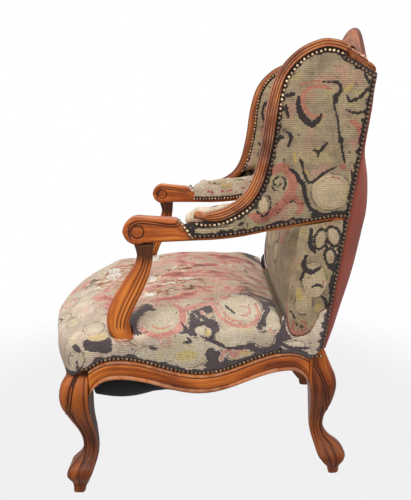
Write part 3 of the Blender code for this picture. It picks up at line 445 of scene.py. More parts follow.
@dataclass(frozen=True)
class Tapestry:
    """Wool tapestry on a ground, drawn by the signed distances that the cover keeps."""

    name: str
    ground: Colour
    ground_shade: Colour
    row_pitch: float = 0.0040
    dark: Colour = srgb(40, 36, 40)
    pink: Colour = srgb(182, 118, 98)
    pink_deep: Colour = srgb(152, 84, 70)
    leaf: Colour = srgb(198, 176, 142)
    leaf_shade: Colour = srgb(176, 156, 126)
    ochre: Colour = srgb(190, 162, 88)
    blush: Colour = srgb(182, 134, 116)
    straw: Colour = srgb(178, 160, 108)

    def material(self) -> Material:
        """The finish as a material."""
        tree = Tree(self.name)
        flat = tree.kept("cloth")
        across, up, _ = tree.parts(flat)
        rows = tree.scaled(flat, (1 / self.row_pitch, 1 / self.row_pitch, 0.0))
        cell = tree.node("ShaderNodeVectorMath", {"operation": "FLOOR"}, {0: rows})
        stitch = tree.node("ShaderNodeTexWhiteNoise", {"noise_dimensions": "2D"}, {"Vector": cell})
        drift = tree.noise(flat, 26.0, 3.0)
        fade = tree.noise(flat, 11.0, 2.0)
        thread = tree.noise(tree.scaled(flat, (130.0, 700.0, 1.0)), 1.0, 3.0)
        drawn = tree.kept("motif", "Color")
        split = tree.node("ShaderNodeSeparateColor", None, {0: drawn}).socket.node.outputs
        ragged = (stitch - 0.5) * 0.26 + (drift - 0.5) * 0.30
        pink = (Val(tree, split[0]) + ragged).step(0.06, -0.06)
        shape = Val(tree, split[1]) + ragged
        leaf = shape.step(0.06, -0.06)
        dark = (Val(tree, split[2]) + ragged).step(0.06, -0.06)
        ochre = (tree.kept("motif", "Alpha") + ragged + (fade - 0.5) * 1.6).step(0.20, -0.20)
        colour = tree.mix(drift.step(0.35, 0.68), self.ground, self.ground_shade)
        flush = tree.noise(flat, 19.0, 3.0).step(0.52, 0.66)
        faded = tree.noise(flat, 23.0, 3.0, 0.6).step(0.52, 0.64)
        colour = tree.mix(flush * 0.60, colour, self.blush)
        colour = tree.mix(leaf, colour, tree.mix(fade.step(0.35, 0.65), self.leaf, self.leaf_shade))
        vein = shape.step(-1.12, -0.96) * shape.step(-0.56, -0.72)
        colour = tree.mix(vein * (0.20 + flush * 0.55), colour, self.pink_deep)
        colour = tree.mix(faded * 0.50, colour, self.straw)
        outline = shape.step(-0.30, -0.18) * shape.step(0.14, 0.02)
        colour = tree.mix(outline * (0.10 + drift.step(0.40, 0.56) * 0.60), colour, self.dark)
        colour = tree.mix(pink * 0.92, colour, tree.mix(drift.step(0.4, 0.7), self.pink, self.pink_deep))
        colour = tree.mix(ochre * (0.25 + fade * 0.8), colour, self.ochre)
        fleck = (tree.noise(flat, 62.0, 2.0) + (stitch - 0.5) * 0.06).step(0.665, 0.70)
        colour = tree.mix((dark * 0.94).most(fleck * 0.66), colour, self.dark)
        colour = self._worn(tree, colour, thread)
        ribs = (up * (2 * math.pi / self.row_pitch)).sine() * 0.5 + 0.5
        knots = (across * (2 * math.pi / self.row_pitch)).sine() * 0.5 + 0.5
        # Brightness of each stitch and thread, with painted shade and highlight along the weave's ribs and knots.
        light = 0.80 + stitch * 0.22 + ribs * 0.10 + knots * 0.06 + (thread - 0.5) * 0.34 + (fade - 0.5) * 0.20
        colour = tree.mix(1.0, colour, tree.node("ShaderNodeCombineColor", None, {0: light, 1: light, 2: light}),
                          "MULTIPLY")
        tree.feed(tree.shader.inputs["Sheen Weight"], 0.15)
        tree.feed(tree.shader.inputs["Specular IOR Level"], 0.15)
        height = ribs * 0.42 + knots * 0.18 + stitch * 0.14 + thread * 0.26
        return tree.surface(colour, 0.86 + stitch * 0.1, height, 0.0016)

    def _worn(self, tree: Tree, colour: Val, thread: Val) -> Val:
        """Rubbed and streaked wool where the cover keeps wear.

        Args:
            tree: The tree of the finish.
            colour: The drawn colour.
            thread: Noise along the threads.

        Returns:
            The colour with its wear.
        """
        wear = tree.kept("wear", "Fac")
        bald = tree.kept("bald", "Fac")
        streak = tree.noise(tree.scaled(tree.place(), (34.0, 12.0, 30.0)), 1.0, 5.0, 0.66)
        blotch = tree.noise(tree.scaled(tree.place(), (60.0, 26.0, 60.0)), 1.0, 5.0, 0.68)
        patch = tree.noise(tree.scaled(tree.place(), (16.0, 11.0, 16.0)), 1.0, 3.0)
        shade = streak * 0.6 + patch * 0.4 + (thread - 0.5) * 0.12
        rubbed = tree.ramp(shade, (0.37, srgb(84, 46, 42)), (0.42, srgb(158, 78, 70)), (0.47, srgb(200, 122, 112)),
                           (0.51, srgb(208, 174, 152)), (0.55, srgb(172, 160, 132)), (0.60, srgb(204, 128, 120)),
                           (0.66, srgb(126, 62, 54)))
        bare = tree.ramp(blotch + (thread - 0.5) * 0.3, (0.38, srgb(104, 60, 38)), (0.47, srgb(168, 112, 78)),
                         (0.54, srgb(204, 170, 138)), (0.62, srgb(228, 220, 208)))
        colour = tree.mix((wear + (blotch - 0.5) * 1.4).step(0.30, 0.60) * 0.90, colour, rubbed)
        return tree.mix((bald + (blotch - 0.5) * 1.6).step(0.40, 0.52), colour, bare)


@dataclass(frozen=True)
class WovenCloth:
    """A plain woven cloth."""

    name: str
    light: Colour
    dark: Colour
    pitch: float = 0.0016
    rough: float = 0.85

    def material(self) -> Material:
        """The finish as a material."""
        tree = Tree(self.name)
        x, y, z = tree.parts(tree.place())
        warp = ((x + y) * (2 * math.pi / self.pitch)).sine() * 0.5 + 0.5
        weft = ((z - y * 0.3) * (2 * math.pi / self.pitch)).sine() * 0.5 + 0.5
        cloud = tree.noise(tree.place(), 9.0, 4.0)
        slub = tree.noise(tree.scaled(tree.place(), (60.0, 60.0, 520.0)), 1.0, 3.0)
        # The weave's crossings add a painted highlight to the colour.
        colour = tree.ramp(cloud * 0.6 + slub * 0.3 + warp * weft * 0.2, (0.30, self.dark), (0.75, self.light))
        tree.feed(tree.shader.inputs["Sheen Weight"], 0.12)
        tree.feed(tree.shader.inputs["Specular IOR Level"], 0.2)
        return tree.surface(colour, self.rough + cloud * 0.1, warp * 0.35 + weft * 0.35 + slub * 0.3, 0.0004)


@dataclass(frozen=True)
class AgedBrass:
    """Tarnished brass with brighter tops, partly worn and partly a painted highlight."""

    name: str = "aged brass"
    # Colour of the bright tops: worn brass with a painted highlight.
    bright: Colour = srgb(222, 198, 160)
    middle: Colour = srgb(132, 98, 68)
    brown: Colour = srgb(42, 29, 22)

    def material(self) -> Material:
        """The finish as a material."""
        tree = Tree(self.name)
        patch = tree.noise(tree.place(), 130.0, 3.0)
        # The kept value is partly rubbed wear, with painted shade on the rims and a painted highlight on the tops.
        rubbed = tree.kept("rubbed", "Fac") + (patch - 0.5) * 0.5
        colour = tree.ramp(rubbed, (0.18, self.brown), (0.52, self.middle), (0.86, self.bright))
        return tree.surface(colour, 0.34 + patch * 0.3, patch, 0.0002, 0.35 + rubbed.step(0.3, 0.8) * 0.35)


@dataclass(frozen=True)
class DrawnSteel:
    """Dull drawn wire with a little rust."""

    name: str = "drawn steel"
    bright: Colour = srgb(150, 148, 144)
    rust: Colour = srgb(104, 66, 44)

    def material(self) -> Material:
        """The finish as a material."""
        tree = Tree(self.name)
        patch = tree.noise(tree.place(), 70.0, 4.0)
        stain = patch.step(0.5, 0.7)
        colour = tree.mix(stain * 0.8, self.bright, self.rust)
        return tree.surface(colour, 0.35 + stain * 0.4, patch, 0.0003, 1.0 - stain * 0.8)


@dataclass(frozen=True)
class Stuffing:
    """Cotton wadding that shows through worn cloth."""

    name: str = "cotton wadding"
    pale: Colour = srgb(226, 218, 206)
    soiled: Colour = srgb(166, 138, 114)
    peach: Colour = srgb(204, 150, 118)

    def material(self) -> Material:
        """The finish as a material."""
        tree = Tree(self.name)
        lump = tree.noise(tree.place(), 90.0, 5.0, 0.65)
        hair = tree.noise(tree.scaled(tree.place(), (900.0, 260.0, 500.0)), 1.0, 3.0)
        tint = tree.kept("tint", "Fac")
        colour = tree.ramp(lump * 0.7 + hair * 0.3, (0.36, self.soiled), (0.56, self.pale))
        colour = tree.mix((tint + (lump - 0.5) * 0.8).step(0.35, 0.75), colour, self.peach)
        return tree.surface(colour, 0.92 + hair * 0.06, lump * 0.6 + hair * 0.4, 0.003)


@dataclass(frozen=True)
class Thread:
    """Wool threads in a few faded colours."""

    name: str = "loose wool"
    rust: Colour = srgb(150, 74, 48)
    peach: Colour = srgb(206, 160, 130)
    cream: Colour = srgb(222, 208, 182)
    black: Colour = srgb(40, 34, 34)

    def material(self) -> Material:
        """The finish as a material."""
        tree = Tree(self.name)
        tint = tree.kept("tint", "Fac")
        twist = tree.noise(tree.scaled(tree.place(), (700.0, 700.0, 700.0)), 1.0, 2.0)
        colour = tree.ramp(tint + (twist - 0.5) * 0.16, (0.10, self.rust), (0.40, self.peach), (0.66, self.cream),
                           (0.92, self.black))
        return tree.surface(colour, 0.82 + twist * 0.12, twist, 0.0004)


@dataclass(frozen=True)
class ChairForm:
    """Driving sizes of the chair in metres, and the lines that its pieces share."""

    gap: float = 0.0004
    front_half: float = 0.374
    back_half: float = 0.286
    front_leg_y: float = -0.305
    back_leg_y: float = 0.326
    leg_inset: float = 0.030
    leg_inner_reach: float = 0.036
    back_leg_front: float = 0.077
    back_leg_inner: float = 0.031
    front_bow: float = 0.045
    rail_top: float = 0.395
    rail_core: float = 0.305
    knee_top: float = 0.300
    rail_wave_mid: float = 0.270
    rail_wave: float = 0.023
    rail_band: float = 0.047
    arch_run: float = 0.050
    arch_drop: float = 0.034
    crest_drop: float = 0.012
    back_rake: float = 0.1435
    stile_depth: float = 0.042
    stile_width: float = 0.044
    stile_foot: float = 0.345
    crest_end: float = 0.996
    crest_rise: float = 0.116
    crest_end_height: float = 0.013
    crest_mid_height: float = 0.046
    crest_end_lift: float = 0.037
    crest_blade_set: float = 0.013
    crest_shoulder: float = 0.0325
    arm_width: float = 0.048
    scroll_y: float = -0.151
    scroll_z: float = 0.642
    scroll_radius: float = 0.031
    arm_cover_start: float = -0.052
    wing_band: float = 0.024
    wing_in: float = 0.026
    wing_out: float = 0.011
    wing_foot: float = 0.671
    seat_rear: float = 0.184
    low_arm: Rows = ((-0.122, 0.615), (-0.030, 0.617), (0.021, 0.618), (0.077, 0.623), (0.145, 0.635),
                     (0.290, 0.657))
    high_arm: Rows = ((-0.052, 0.650), (0.030, 0.652), (0.070, 0.657), (0.120, 0.668), (0.200, 0.686),
                      (0.290, 0.704))
    wing_rows: Rows = ((-0.026, 0.011), (0.012, 0.000), (0.050, 0.025), (0.090, 0.101), (0.116, 0.222),
                       (0.134, 0.430), (0.146, 0.668), (0.165, 0.844), (0.201, 0.961), (0.246, 1.022),
                       (0.278, 1.022))
    tongue: Rows = ((0.004, 0.050), (0.012, 0.006), (0.029, -0.012), (0.062, -0.002), (0.086, 0.046))

    @property
    def taper(self) -> float:
        """Narrowing of the side planes per metre toward the back."""
        return (self.front_half - self.back_half) / (self.back_leg_y - self.front_leg_y)

    @property
    def leg_inner_x(self) -> float:
        """Inner face of the front legs."""
        return self.front_half - self.leg_inset - self.leg_inner_reach

    @property
    def leg_inner_y(self) -> float:
        """Rear face of the front legs."""
        return self.front_leg_y + self.leg_inner_reach

    @property
    def shoulder_y(self) -> float:
        """Front face of the back legs under the seat."""
        return self.back_leg_y - self.back_leg_front

    @property
    def crest_reach(self) -> float:
        """Half the length of the crest."""
        return float(self.side_x(self.stile_front(self.crest_end) + self.stile_depth / 2)) + 0.002

    def side_x(self, y: Array | float) -> Array:
        """The outer side plane at depth y."""
        return self.front_half - self.taper * (y - self.front_leg_y)

    def front_y(self, x: Array | float) -> Array:
        """The bowed face of the front rail at x."""
        return self.front_leg_y - self.leg_inset - self.front_bow * (1 - (x / self.leg_inner_x) ** 2)

    def stile_front(self, z: Array | float) -> Array:
        """Front face of the leaning stiles at height z."""
        return self.shoulder_y + self.back_rake * (z - self.rail_top)

    def stile_rear(self, z: Array | float) -> Array:
        """Rear face of the leaning stiles at height z."""
        return self.stile_front(z) + self.stile_depth

    def rail_edges(self, t: Array, length: float, belly: float) -> tuple[Array, Array]:
        """Lower and upper edge of a rail's moulded band.

        Args:
            t: Share of the rail's length.
            length: The rail's length.
            belly: Share at which the band hangs lowest.

        Returns:
            The heights of both edges.
        """
        t = np.clip(t, 0.0, 1.0)
        wave = self.rail_wave_mid - self.rail_wave * np.cos(2 * math.pi * (t - belly) / 0.78)
        near = np.maximum(0.0, 1 - np.minimum(t, 1 - t) * length / self.arch_run)
        low = wave - self.arch_drop * (1 - np.sqrt(1 - near**2))
        return low, wave + self.rail_band - self.crest_drop * near**2

    def side_edges(self, y: Array | float) -> tuple[Array, Array]:
        """Edges of a side rail's moulded band at depth y."""
        length = self.shoulder_y - self.leg_inner_y
        return self.rail_edges((y - self.leg_inner_y) / length, length, 0.51)

    def front_edges(self, x: Array | float) -> tuple[Array, Array]:
        """Edges of the front rail's moulded band at x."""
        return self.rail_edges((x + self.leg_inner_x) / (2 * self.leg_inner_x), 2 * self.leg_inner_x, 0.50)

    def crest_at(self, x: Array | float) -> tuple[Array, Array, Array, Array, Array]:
        """Section of the crest.

        Args:
            x: Places along the crest.

        Returns:
            Front, rear, lower and upper height and the lift of the front edge.
        """
        t = np.minimum(np.abs(x) / self.crest_reach, 1.0)
        high = self.crest_end + self.crest_rise * (1 + np.cos(math.pi * t**1.2)) / 2
        low = high - self.crest_end_height - (self.crest_mid_height - self.crest_end_height) * (1 - t * t)
        shoulder = ease((t - 0.66) / 0.24)
        front = self.stile_front(high) + self.crest_blade_set
        front = front - (self.crest_blade_set + self.crest_shoulder) * shoulder
        rear = self.stile_rear(high) - self.crest_blade_set + 0.004 * shoulder
        return front, rear, low, high, self.crest_end_lift * shoulder

    def under_crest(self, x: Array | float) -> Array:
        """Rise of the crest's lower edge above its ends."""
        return self.crest_at(x)[2] - (self.crest_end - self.crest_end_height)

    def arm_low(self, y: Array | float) -> Array:
        """Lower edge of the arm at depth y."""
        return smooth_at(self.low_arm, y)[:, 0]

    def arm_high(self, y: Array | float) -> Array:
        """Upper edge of the arm under its pad at depth y."""
        return smooth_at(self.high_arm, y)[:, 0]

    def wing_path(self, count: int) -> tuple[Array, Array]:
        """The middle of the wing moulding from the arm to the crest.

        Args:
            count: How many points come back.

        Returns:
            Points as (depth, height), and the directions across the moulding toward its front.
        """
        end = self.crest_end + 0.033
        points = [(y, self.wing_foot + (end - self.wing_foot) * share) for y, share in self.wing_rows]
        points.append((float(self.stile_front(self.crest_end)) - self.crest_shoulder - 2 * self.gap, end))
        path = even(smooth_path(points, 400), count)
        run = np.gradient(path, axis=0)
        run /= np.linalg.norm(run, axis=1)[:, None]
        across = np.stack([-run[:, 1], run[:, 0]], axis=1)
        plumb = ease((path[:, :1] - path[-1, 0] + 0.012) / 0.012)
        across = across * (1 - plumb) + np.array([0.0, 1.0]) * plumb
        return path, across / np.linalg.norm(across, axis=1)[:, None]

    def tongue_line(self, count: int) -> Array:
        """The rounded foot of the back's side cover as (depth, height), front to rear."""
        return smooth_path([(self.seat_rear + y, self.rail_top + rise) for y, rise in self.tongue], count)

    def wing_narrow(self, z: Array) -> Array:
        """Share of the wing moulding's inner half that the cover leaves free at height z."""
        return 1 - 0.5 * ease((z - 0.86) / 0.12)

    def wing_edge(self, offset: float, count: int) -> Array:
        """The wing moulding's inner edge, moved in by an offset."""
        path, across = self.wing_path(count)
        return path - across * (self.wing_band / 2 * self.wing_narrow(path[:, 1:]) + offset)


@dataclass
class Piece:
    """One finished piece of the chair and where it belongs."""

    mesh: Mesh
    finish: Material
    slot: Slot | None = None
    stands_for: tuple[str, ...] = ()
    fill: float | None = None
    rounded: bool = False

    def put(self) -> bpy.types.Object:
        """Puts the piece in the scene, riding on the frame.

        Returns:
            The new object.
        """
        self.mesh.materials.append(self.finish)
        self.mesh.polygons.foreach_set("use_smooth", [True] * len(self.mesh.polygons))
        made = bpy.data.objects.new(self.mesh.name, self.mesh)
        bpy.context.scene.collection.objects.link(made)
        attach(made, "root")
        if self.stands_for:
            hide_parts(*self.stands_for)
        if self.rounded:
            smooth = made.modifiers.new("smooth", "SUBSURF")
            smooth.levels = 1
            smooth.render_levels = 1
        log.info("%s: %d faces, stands for %s", made.name, len(self.mesh.polygons), self.stands_for or "nothing")
        return made


def keep(mesh: Mesh, name: str, kind: str, values: Array) -> None:
    """Keeps values at the points of a mesh for its finish.

    Args:
        mesh: The mesh.
        name: Name that the finish reads.
        kind: FLOAT, FLOAT_VECTOR or FLOAT_COLOR.
        values: One value for each point.
    """
    made = mesh.attributes.new(name, kind, "POINT")
    word = {"FLOAT": "value", "FLOAT_VECTOR": "vector", "FLOAT_COLOR": "color"}[kind]
    made.data.foreach_set(word, np.ascontiguousarray(values, np.float32).ravel())


def points_of(mesh: Mesh) -> Array:
    """The points of a mesh as rows of three numbers."""
    flat = np.empty(len(mesh.vertices) * 3)
    mesh.vertices.foreach_get("co", flat)
    return flat.reshape(-1, 3)


def ring_quads(rows: int, columns: int, closed: bool = True, base: int = 0) -> Array:
    """Faces between neighbouring rows of points.

    Args:
        rows: How many rows there are.
        columns: Points in a row.
        closed: Whether each row joins its own start.
        base: Number of the first point.

    Returns:
        Four point numbers for each face.
    """
    index = base + np.arange(rows * columns).reshape(rows, columns)
    if closed:
        index = np.concatenate([index, index[:, :1]], axis=1)
    return np.stack([index[:-1, :-1], index[:-1, 1:], index[1:, 1:], index[1:, :-1]], axis=-1).reshape(-1, 4)


def grid_mesh(name: str, grid: Array, closed: bool, capped: bool, side: int = 1) -> Mesh:
    """A mesh over rows of points.

    Args:
        name: Name of the mesh.
        grid: Points as (rows, points in a row, 3).
        closed: Whether each row joins its own start.
        capped: Whether the first and last row are closed by a face.
        side: 1, or -1 for the mirror image.

    Returns:
        The mesh, facing outward where it is closed.
    """
    rows, count, _ = grid.shape
    faces = ring_quads(rows, count, closed).tolist()
    if capped:
        faces.append(list(range(count - 1, -1, -1)))
        faces.append(list(range((rows - 1) * count, rows * count)))
    mesh = bpy.data.meshes.new(name)
    mesh.from_pydata((grid.reshape(-1, 3) * (side, 1, 1)).tolist(), [], faces)
    shell = bmesh.new()
    shell.from_mesh(mesh)
    turned = shell.calc_volume(signed=True) < 0 if closed and capped else side < 0
    if turned:
        bmesh.ops.reverse_faces(shell, faces=shell.faces)
    shell.to_mesh(mesh)
    shell.free()
    return mesh


class Carving:
    """A closed skin through rings of points that can be carved before it becomes a mesh."""

    def __init__(self, rings: Array) -> None:
        """Takes rings as (rings, points, 3)."""
        self.rings = np.asarray(rings, float)
        self.hollow = np.zeros(self.rings.shape[:2])

    def normals(self) -> Array:
        """Directions out of the skin at its points."""
        around = np.roll(self.rings, -1, axis=1) - np.roll(self.rings, 1, axis=1)
        ahead = np.gradient(self.rings, axis=0)
        out = np.cross(around, ahead)
        out /= np.maximum(np.linalg.norm(out, axis=2), 1e-12)[..., None]
        middle = self.rings.mean(axis=1, keepdims=True)
        if (out * (self.rings - middle)).sum() < 0:
            out = -out
        return out

    def cut(self, depth: Array) -> None:
        """Moves the skin in by a depth in metres, or out where it is less than 0."""
        self.rings = self.rings - self.normals() * depth[..., None]
        self.hollow = self.hollow + np.where(depth > 0, depth, 0.3 * depth) * 1000

    def mesh(self, name: str, side: Side, seed: float) -> Mesh:
        """The carving as a mesh that keeps its grain and its hollows with painted shade.

        Args:
            name: Name of the mesh.
            side: The side it is for.
            seed: Moves the grain pattern, so that pieces differ.

        Returns:
            The mesh.
        """
        made = grid_mesh(name, self.rings, True, True, side.value)
        run = along(self.rings.mean(axis=1))
        girth = np.linalg.norm(np.diff(self.rings, axis=1), axis=2).mean(axis=0)
        turn = np.concatenate([[0.0], np.cumsum(girth)])
        grain = np.zeros(self.rings.shape)
        grain[..., 0] = run[:, None] + seed
        grain[..., 1] = turn[None, :] + 0.37 * seed
        grain[..., 2] = seed + 0.2 * side.value
        keep(made, "grain", "FLOAT_VECTOR", grain.reshape(-1, 3))
        keep(made, "hollow", "FLOAT", self.hollow.reshape(-1))
        return made

    def put(self, name: str, side: Side, seed: float, wood: Material, *stands_for: str) -> None:
        """Puts the carving in the scene as one piece.

        Args:
            name: Name of the piece.
            side: The side it is for.
            seed: Moves the grain pattern.
            wood: Its finish.
            stands_for: The solids that it stands for.
        """
        Piece(self.mesh(name, side, seed), wood, Slot.CARVED, stands_for).put()


def box_ring(low: tuple[float, float], high: tuple[float, float], radii: tuple[float, ...],
             turn_steps: int = 6, side_steps: int = 10) -> Array:
    """A rectangle with rounded corners.

    Args:
        low: Its low corner.
        high: Its high corner.
        radii: Corner radii, from the high corner round by the low first coordinate.
        turn_steps: Steps round a corner.
        side_steps: Steps along a side.

    Returns:
        Points round it.
    """
    (x0, y0), (x1, y1) = low, high
    most = 0.47 * min(x1 - x0, y1 - y0)
    spots = []
    for (cx, cy, start), radius in zip(((x1, y1, 0), (x0, y1, 90), (x0, y0, 180), (x1, y0, 270)), radii):
        r = min(radius, most)
        mx = cx - r if cx == x1 else cx + r
        my = cy - r if cy == y1 else cy + r
        angles = np.radians(start + np.linspace(0, 90, turn_steps + 1))
        spots.append(np.stack([mx + r * np.cos(angles), my + r * np.sin(angles)], axis=1))
    ring = []
    for corner, after in zip(spots, spots[1:] + spots[:1]):
        ring.append(corner)
        share = np.linspace(0, 1, side_steps + 2)[1:-1, None]
        ring.append(corner[-1] + (after[0] - corner[-1]) * share)
    return np.concatenate(ring)


@dataclass
class Legs:
    """Carved cabriole legs, the back ones running up as stiles."""

    form: ChairForm
    wood: Material
    front_rows: Rows = (
        (0.000, 0.0145, 0.0125), (0.013, 0.0150, 0.0155), (0.020, 0.0158, 0.020), (0.027, 0.0172, 0.023),
        (0.034, 0.0208, 0.026), (0.044, 0.0255, 0.030), (0.053, 0.0262, 0.034), (0.064, 0.0228, 0.038),
        (0.074, 0.0130, 0.0405), (0.084, 0.0020, 0.0425), (0.104, -0.0075, 0.044),
        (0.130, -0.007, 0.043), (0.156, 0.001, 0.041), (0.193, 0.018, 0.037), (0.228, 0.032, 0.036),
        (0.258, 0.035, 0.036), (0.284, 0.030, 0.036), (0.300, 0.021, 0.036),
    )
    back_rows: Rows = (
        (0.000, 0.0145, 0.0125, 0.0135, 0.0135), (0.016, 0.0160, 0.0160, 0.0150, 0.0160),
        (0.024, 0.019, 0.022, 0.019, 0.018), (0.034, 0.0256, 0.030, 0.021, 0.0205),
        (0.0476, 0.0290, 0.040, 0.020, 0.0235), (0.060, 0.0240, 0.0455, 0.015, 0.0263),
        (0.0744, 0.0115, 0.0505, 0.005, 0.028), (0.087, -0.006, 0.055, 0.001, 0.0292),
        (0.103, -0.020, 0.0595, -0.002, 0.0302), (0.122, -0.0275, 0.063, -0.002, 0.031),
        (0.152, -0.025, 0.065, 0.004, 0.031), (0.184, -0.0155, 0.067, 0.018, 0.031),
        (0.216, -0.009, 0.069, 0.030, 0.031), (0.246, -0.006, 0.073, 0.036, 0.031),
        (0.272, -0.010, 0.077, 0.036, 0.031), (0.300, -0.022, 0.077, 0.035, 0.031),
    )
    front_ridge: Rows = ((0.190, 0.00), (0.205, 0.12), (0.223, 0.27), (0.244, 0.38), (0.289, 0.45), (0.300, 0.46))
    front_groove: Rows = ((0.050, 0.45), (0.078, 0.36), (0.106, 0.24), (0.138, 0.25), (0.170, 0.28), (0.202, 0.31),
                          (0.230, 0.42))
    back_ridge: Rows = ((0.160, 0.99), (0.172, 0.94), (0.185, 0.86), (0.203, 0.75), (0.233, 0.62), (0.254, 0.56),
                        (0.284, 0.44), (0.300, 0.32))
    back_groove: Rows = ((0.050, 0.64), (0.070, 0.69), (0.099, 0.73), (0.128, 0.77), (0.150, 0.71), (0.170, 0.66),
                         (0.205, 0.58))
    block_reach: float = 0.006
    flute: float = 0.0024
    bead_in: float = 0.0092

    def build(self) -> None:
        """Builds the four legs."""
        front, back = self._front(), self._back()
        for side in Side:
            for name, node, carving, seed in (("front_leg", "front_leg", front, 0.3),
                                              ("back_leg", "back_post", back, 0.9)):
                carving.put(f"carved_{name}_{side.tag}", side, seed + side.value * 0.11, self.wood,
                            f"{node}_{side.tag}")

    def _toe(self, z: Array) -> Array:
        """Rings cut round the foot where the toe sits on its pad."""
        return (0.0014 * bump(z - 0.0195, 0.0020) + 0.0010 * bump(z - 0.0100, 0.0018)
                + 0.0007 * bump(z - 0.0400, 0.0016))

    def _lines(self, u: Array, z: Array, size: Array, ridge: Rows, groove: Rows) -> Array:
        """The moulding that runs down a leg's outer face.

        Args:
            u: Share across the face.
            z: Heights of the sections.
            size: Widths of the sections.
            ridge: Where a bead runs from the rail's top to the leg's edge, as (height, share).
            groove: Where a groove runs on down the leg, in the same form.

        Returns:
            Depths to cut.
        """
        high = ease((z - ridge[0][0]) / 0.020)
        low = ease((z - 0.055) / 0.030) * (1 - ease((z - groove[-1][0] + 0.030) / 0.030))
        off = (u - smooth_at(ridge, z[:, 0])) * size
        depth = self.flute * high * (bump(off - 0.0034, 0.0019) + bump(off + 0.0034, 0.0019))
        depth -= 0.0014 * high * bump(off, 0.0022)
        return depth + 0.9 * self.flute * low * bump((u - smooth_at(groove, z[:, 0])) * size, 0.0024)

    def _front(self) -> Carving:
        """A front leg on the left, with its covered block."""
        form = self.form
        foot = form.front_half - form.leg_inset
        levels = np.linspace(0.0, form.knee_top, 120)
        rows = smooth_at(self.front_rows, levels)
        rings, shares, faces = [], [], []
        for z, (out, inside) in zip(levels, rows):
            swell = 0.008 + 0.010 * ease((z - 0.12) / 0.10)
            ring = box_ring((foot - inside, form.front_leg_y - out), (foot + out, form.front_leg_y + inside),
                            (0.007, 0.010, 0.007, swell), 6, 40)
            size = out + inside
            to_rear = (ring[:, 1] - form.front_leg_y + out) / size
            to_inner = (foot + out - ring[:, 0]) / size
            rings.append(np.column_stack([ring, np.full(len(ring), z)]))
            shares.append(np.maximum(to_rear, to_inner))
            faces.append(1 - ease((np.minimum(to_rear, to_inner) - 0.04) / 0.14))
        carving = Carving(np.array(rings))
        u, open_face = np.array(shares), np.array(faces)
        z = levels[:, None]
        size = rows.sum(axis=1)[:, None]
        upper = ease((z - 0.040) / 0.03)
        depth = self._lines(u, z, size, self.front_ridge, self.front_groove)
        depth += 1.3 * self.flute * ease((z - 0.272) / 0.02) * bump((u - 0.455) * size, 0.0036)
        depth += 0.0013 * upper * bump((1 - u) * size - self.bead_in, 0.0017)
        depth -= 0.0009 * upper * bump((1 - u) * size - 0.0045, 0.003)
        toe = ease((z - 0.014) / 0.01) * (1 - ease((z - 0.050) / 0.03))
        depth += 0.0022 * toe * bump(u * size, 0.0022)
        depth += 0.0013 * toe * bump((u - 0.50) * size, 0.0020)
        carving.cut(depth * open_face + self._toe(z))
        # Painted shade on the leg's rear and inner faces.
        carving.hollow += 1.6 * (u > 0.985)
        tops = []
        for z_top in (form.knee_top + 0.002, form.rail_top):
            ring = box_ring((form.leg_inner_x, form.front_leg_y - self.block_reach),
                            (foot + self.block_reach, form.leg_inner_y), (0.004,) * 4, 6, 40)
            tops.append(np.column_stack([ring, np.full(len(ring), z_top)]))
        carving.rings = np.concatenate([carving.rings, np.array(tops)])
        carving.hollow = np.concatenate([carving.hollow, np.full((2, carving.hollow.shape[1]), 1.0)])
        return carving

    def _back(self) -> Carving:
        """A back leg on the left, with its stile."""
        form = self.form
        foot = form.back_half - form.leg_inset
        levels = np.linspace(0.0, form.knee_top, 120)
        rows = smooth_at(self.back_rows, levels)
        rings, shares, faces = [], [], []
        for z, (back, front, out, inside) in zip(levels, rows):
            ring = box_ring((foot - inside, form.back_leg_y - front), (foot + out, form.back_leg_y + back),
                            (0.012, 0.010, 0.007, 0.007), 6, 40)
            shares.append((ring[:, 1] - form.back_leg_y + front) / (front + back))
            faces.append(ease((ring[:, 0] - foot - out + 0.012) / 0.010))
            lean = ring[:, 0] - form.taper * (ring[:, 1] - form.back_leg_y - (back - front) / 2)
            rings.append(np.column_stack([lean, ring[:, 1], np.full(len(ring), z)]))
        carving = Carving(np.array(rings))
        u, open_face = np.array(shares), np.array(faces)
        z = levels[:, None]
        size = (rows[:, 0] + rows[:, 1])[:, None]
        upper = ease((z - 0.045) / 0.03)
        depth = self._lines(u, z, size, self.back_ridge, self.back_groove)
        depth += 0.0013 * upper * bump(u * size - self.bead_in, 0.0017)
        depth -= 0.0009 * upper * bump(u * size - 0.0045, 0.003)
        toe = ease((z - 0.016) / 0.01) * (1 - ease((z - 0.055) / 0.03))
        depth += 0.0018 * toe * bump((u - 0.62) * size, 0.0022)
        depth += 0.0013 * toe * bump((u - 0.34) * size, 0.0020)
        carving.cut(depth * open_face + self._toe(z))
        tops = []
        rear = float(form.stile_rear(form.stile_foot))
        inner = foot - form.back_leg_inner
        for z_top in (form.stile_foot, form.rail_top):
            back = max(rear, float(form.stile_rear(z_top)))
            middle = (form.shoulder_y + back) / 2
            tops.append(self._stile(inner, float(form.side_x(middle)), form.shoulder_y, back, z_top))
        top = form.crest_end - form.crest_end_height - 0.010
        for z_top in np.linspace(form.rail_top + 0.030, top, 5):
            front, back = float(form.stile_front(z_top)), float(form.stile_rear(z_top))
            outer = float(form.side_x((front + back) / 2))
            tops.append(self._stile(outer - form.stile_width, outer, front, back, z_top))
        slant = 0.9 * form.crest_end_lift / (form.stile_depth + form.crest_shoulder)
        rise = slant * (float(form.stile_rear(top)) - tops[-1][:, 1])
        tops[-1] += rise[:, None] * np.array([-form.taper * form.back_rake, form.back_rake, 1.0])
        carving.rings = np.concatenate([carving.rings, np.array(tops)])
        carving.hollow = np.concatenate([carving.hollow, np.full((7, carving.hollow.shape[1]), 0.4)])
        return carving

    def _stile(self, inner: float, outer: float, front: float, rear: float, z: float) -> Array:
        """A level section of a stile, sheared to the side plane."""
        ring = box_ring((inner, front), (outer, rear), (0.004,) * 4, 6, 40)
        lean = ring[:, 0] - self.form.taper * (ring[:, 1] - (front + rear) / 2)
        return np.column_stack([lean, ring[:, 1], np.full(len(ring), z)])


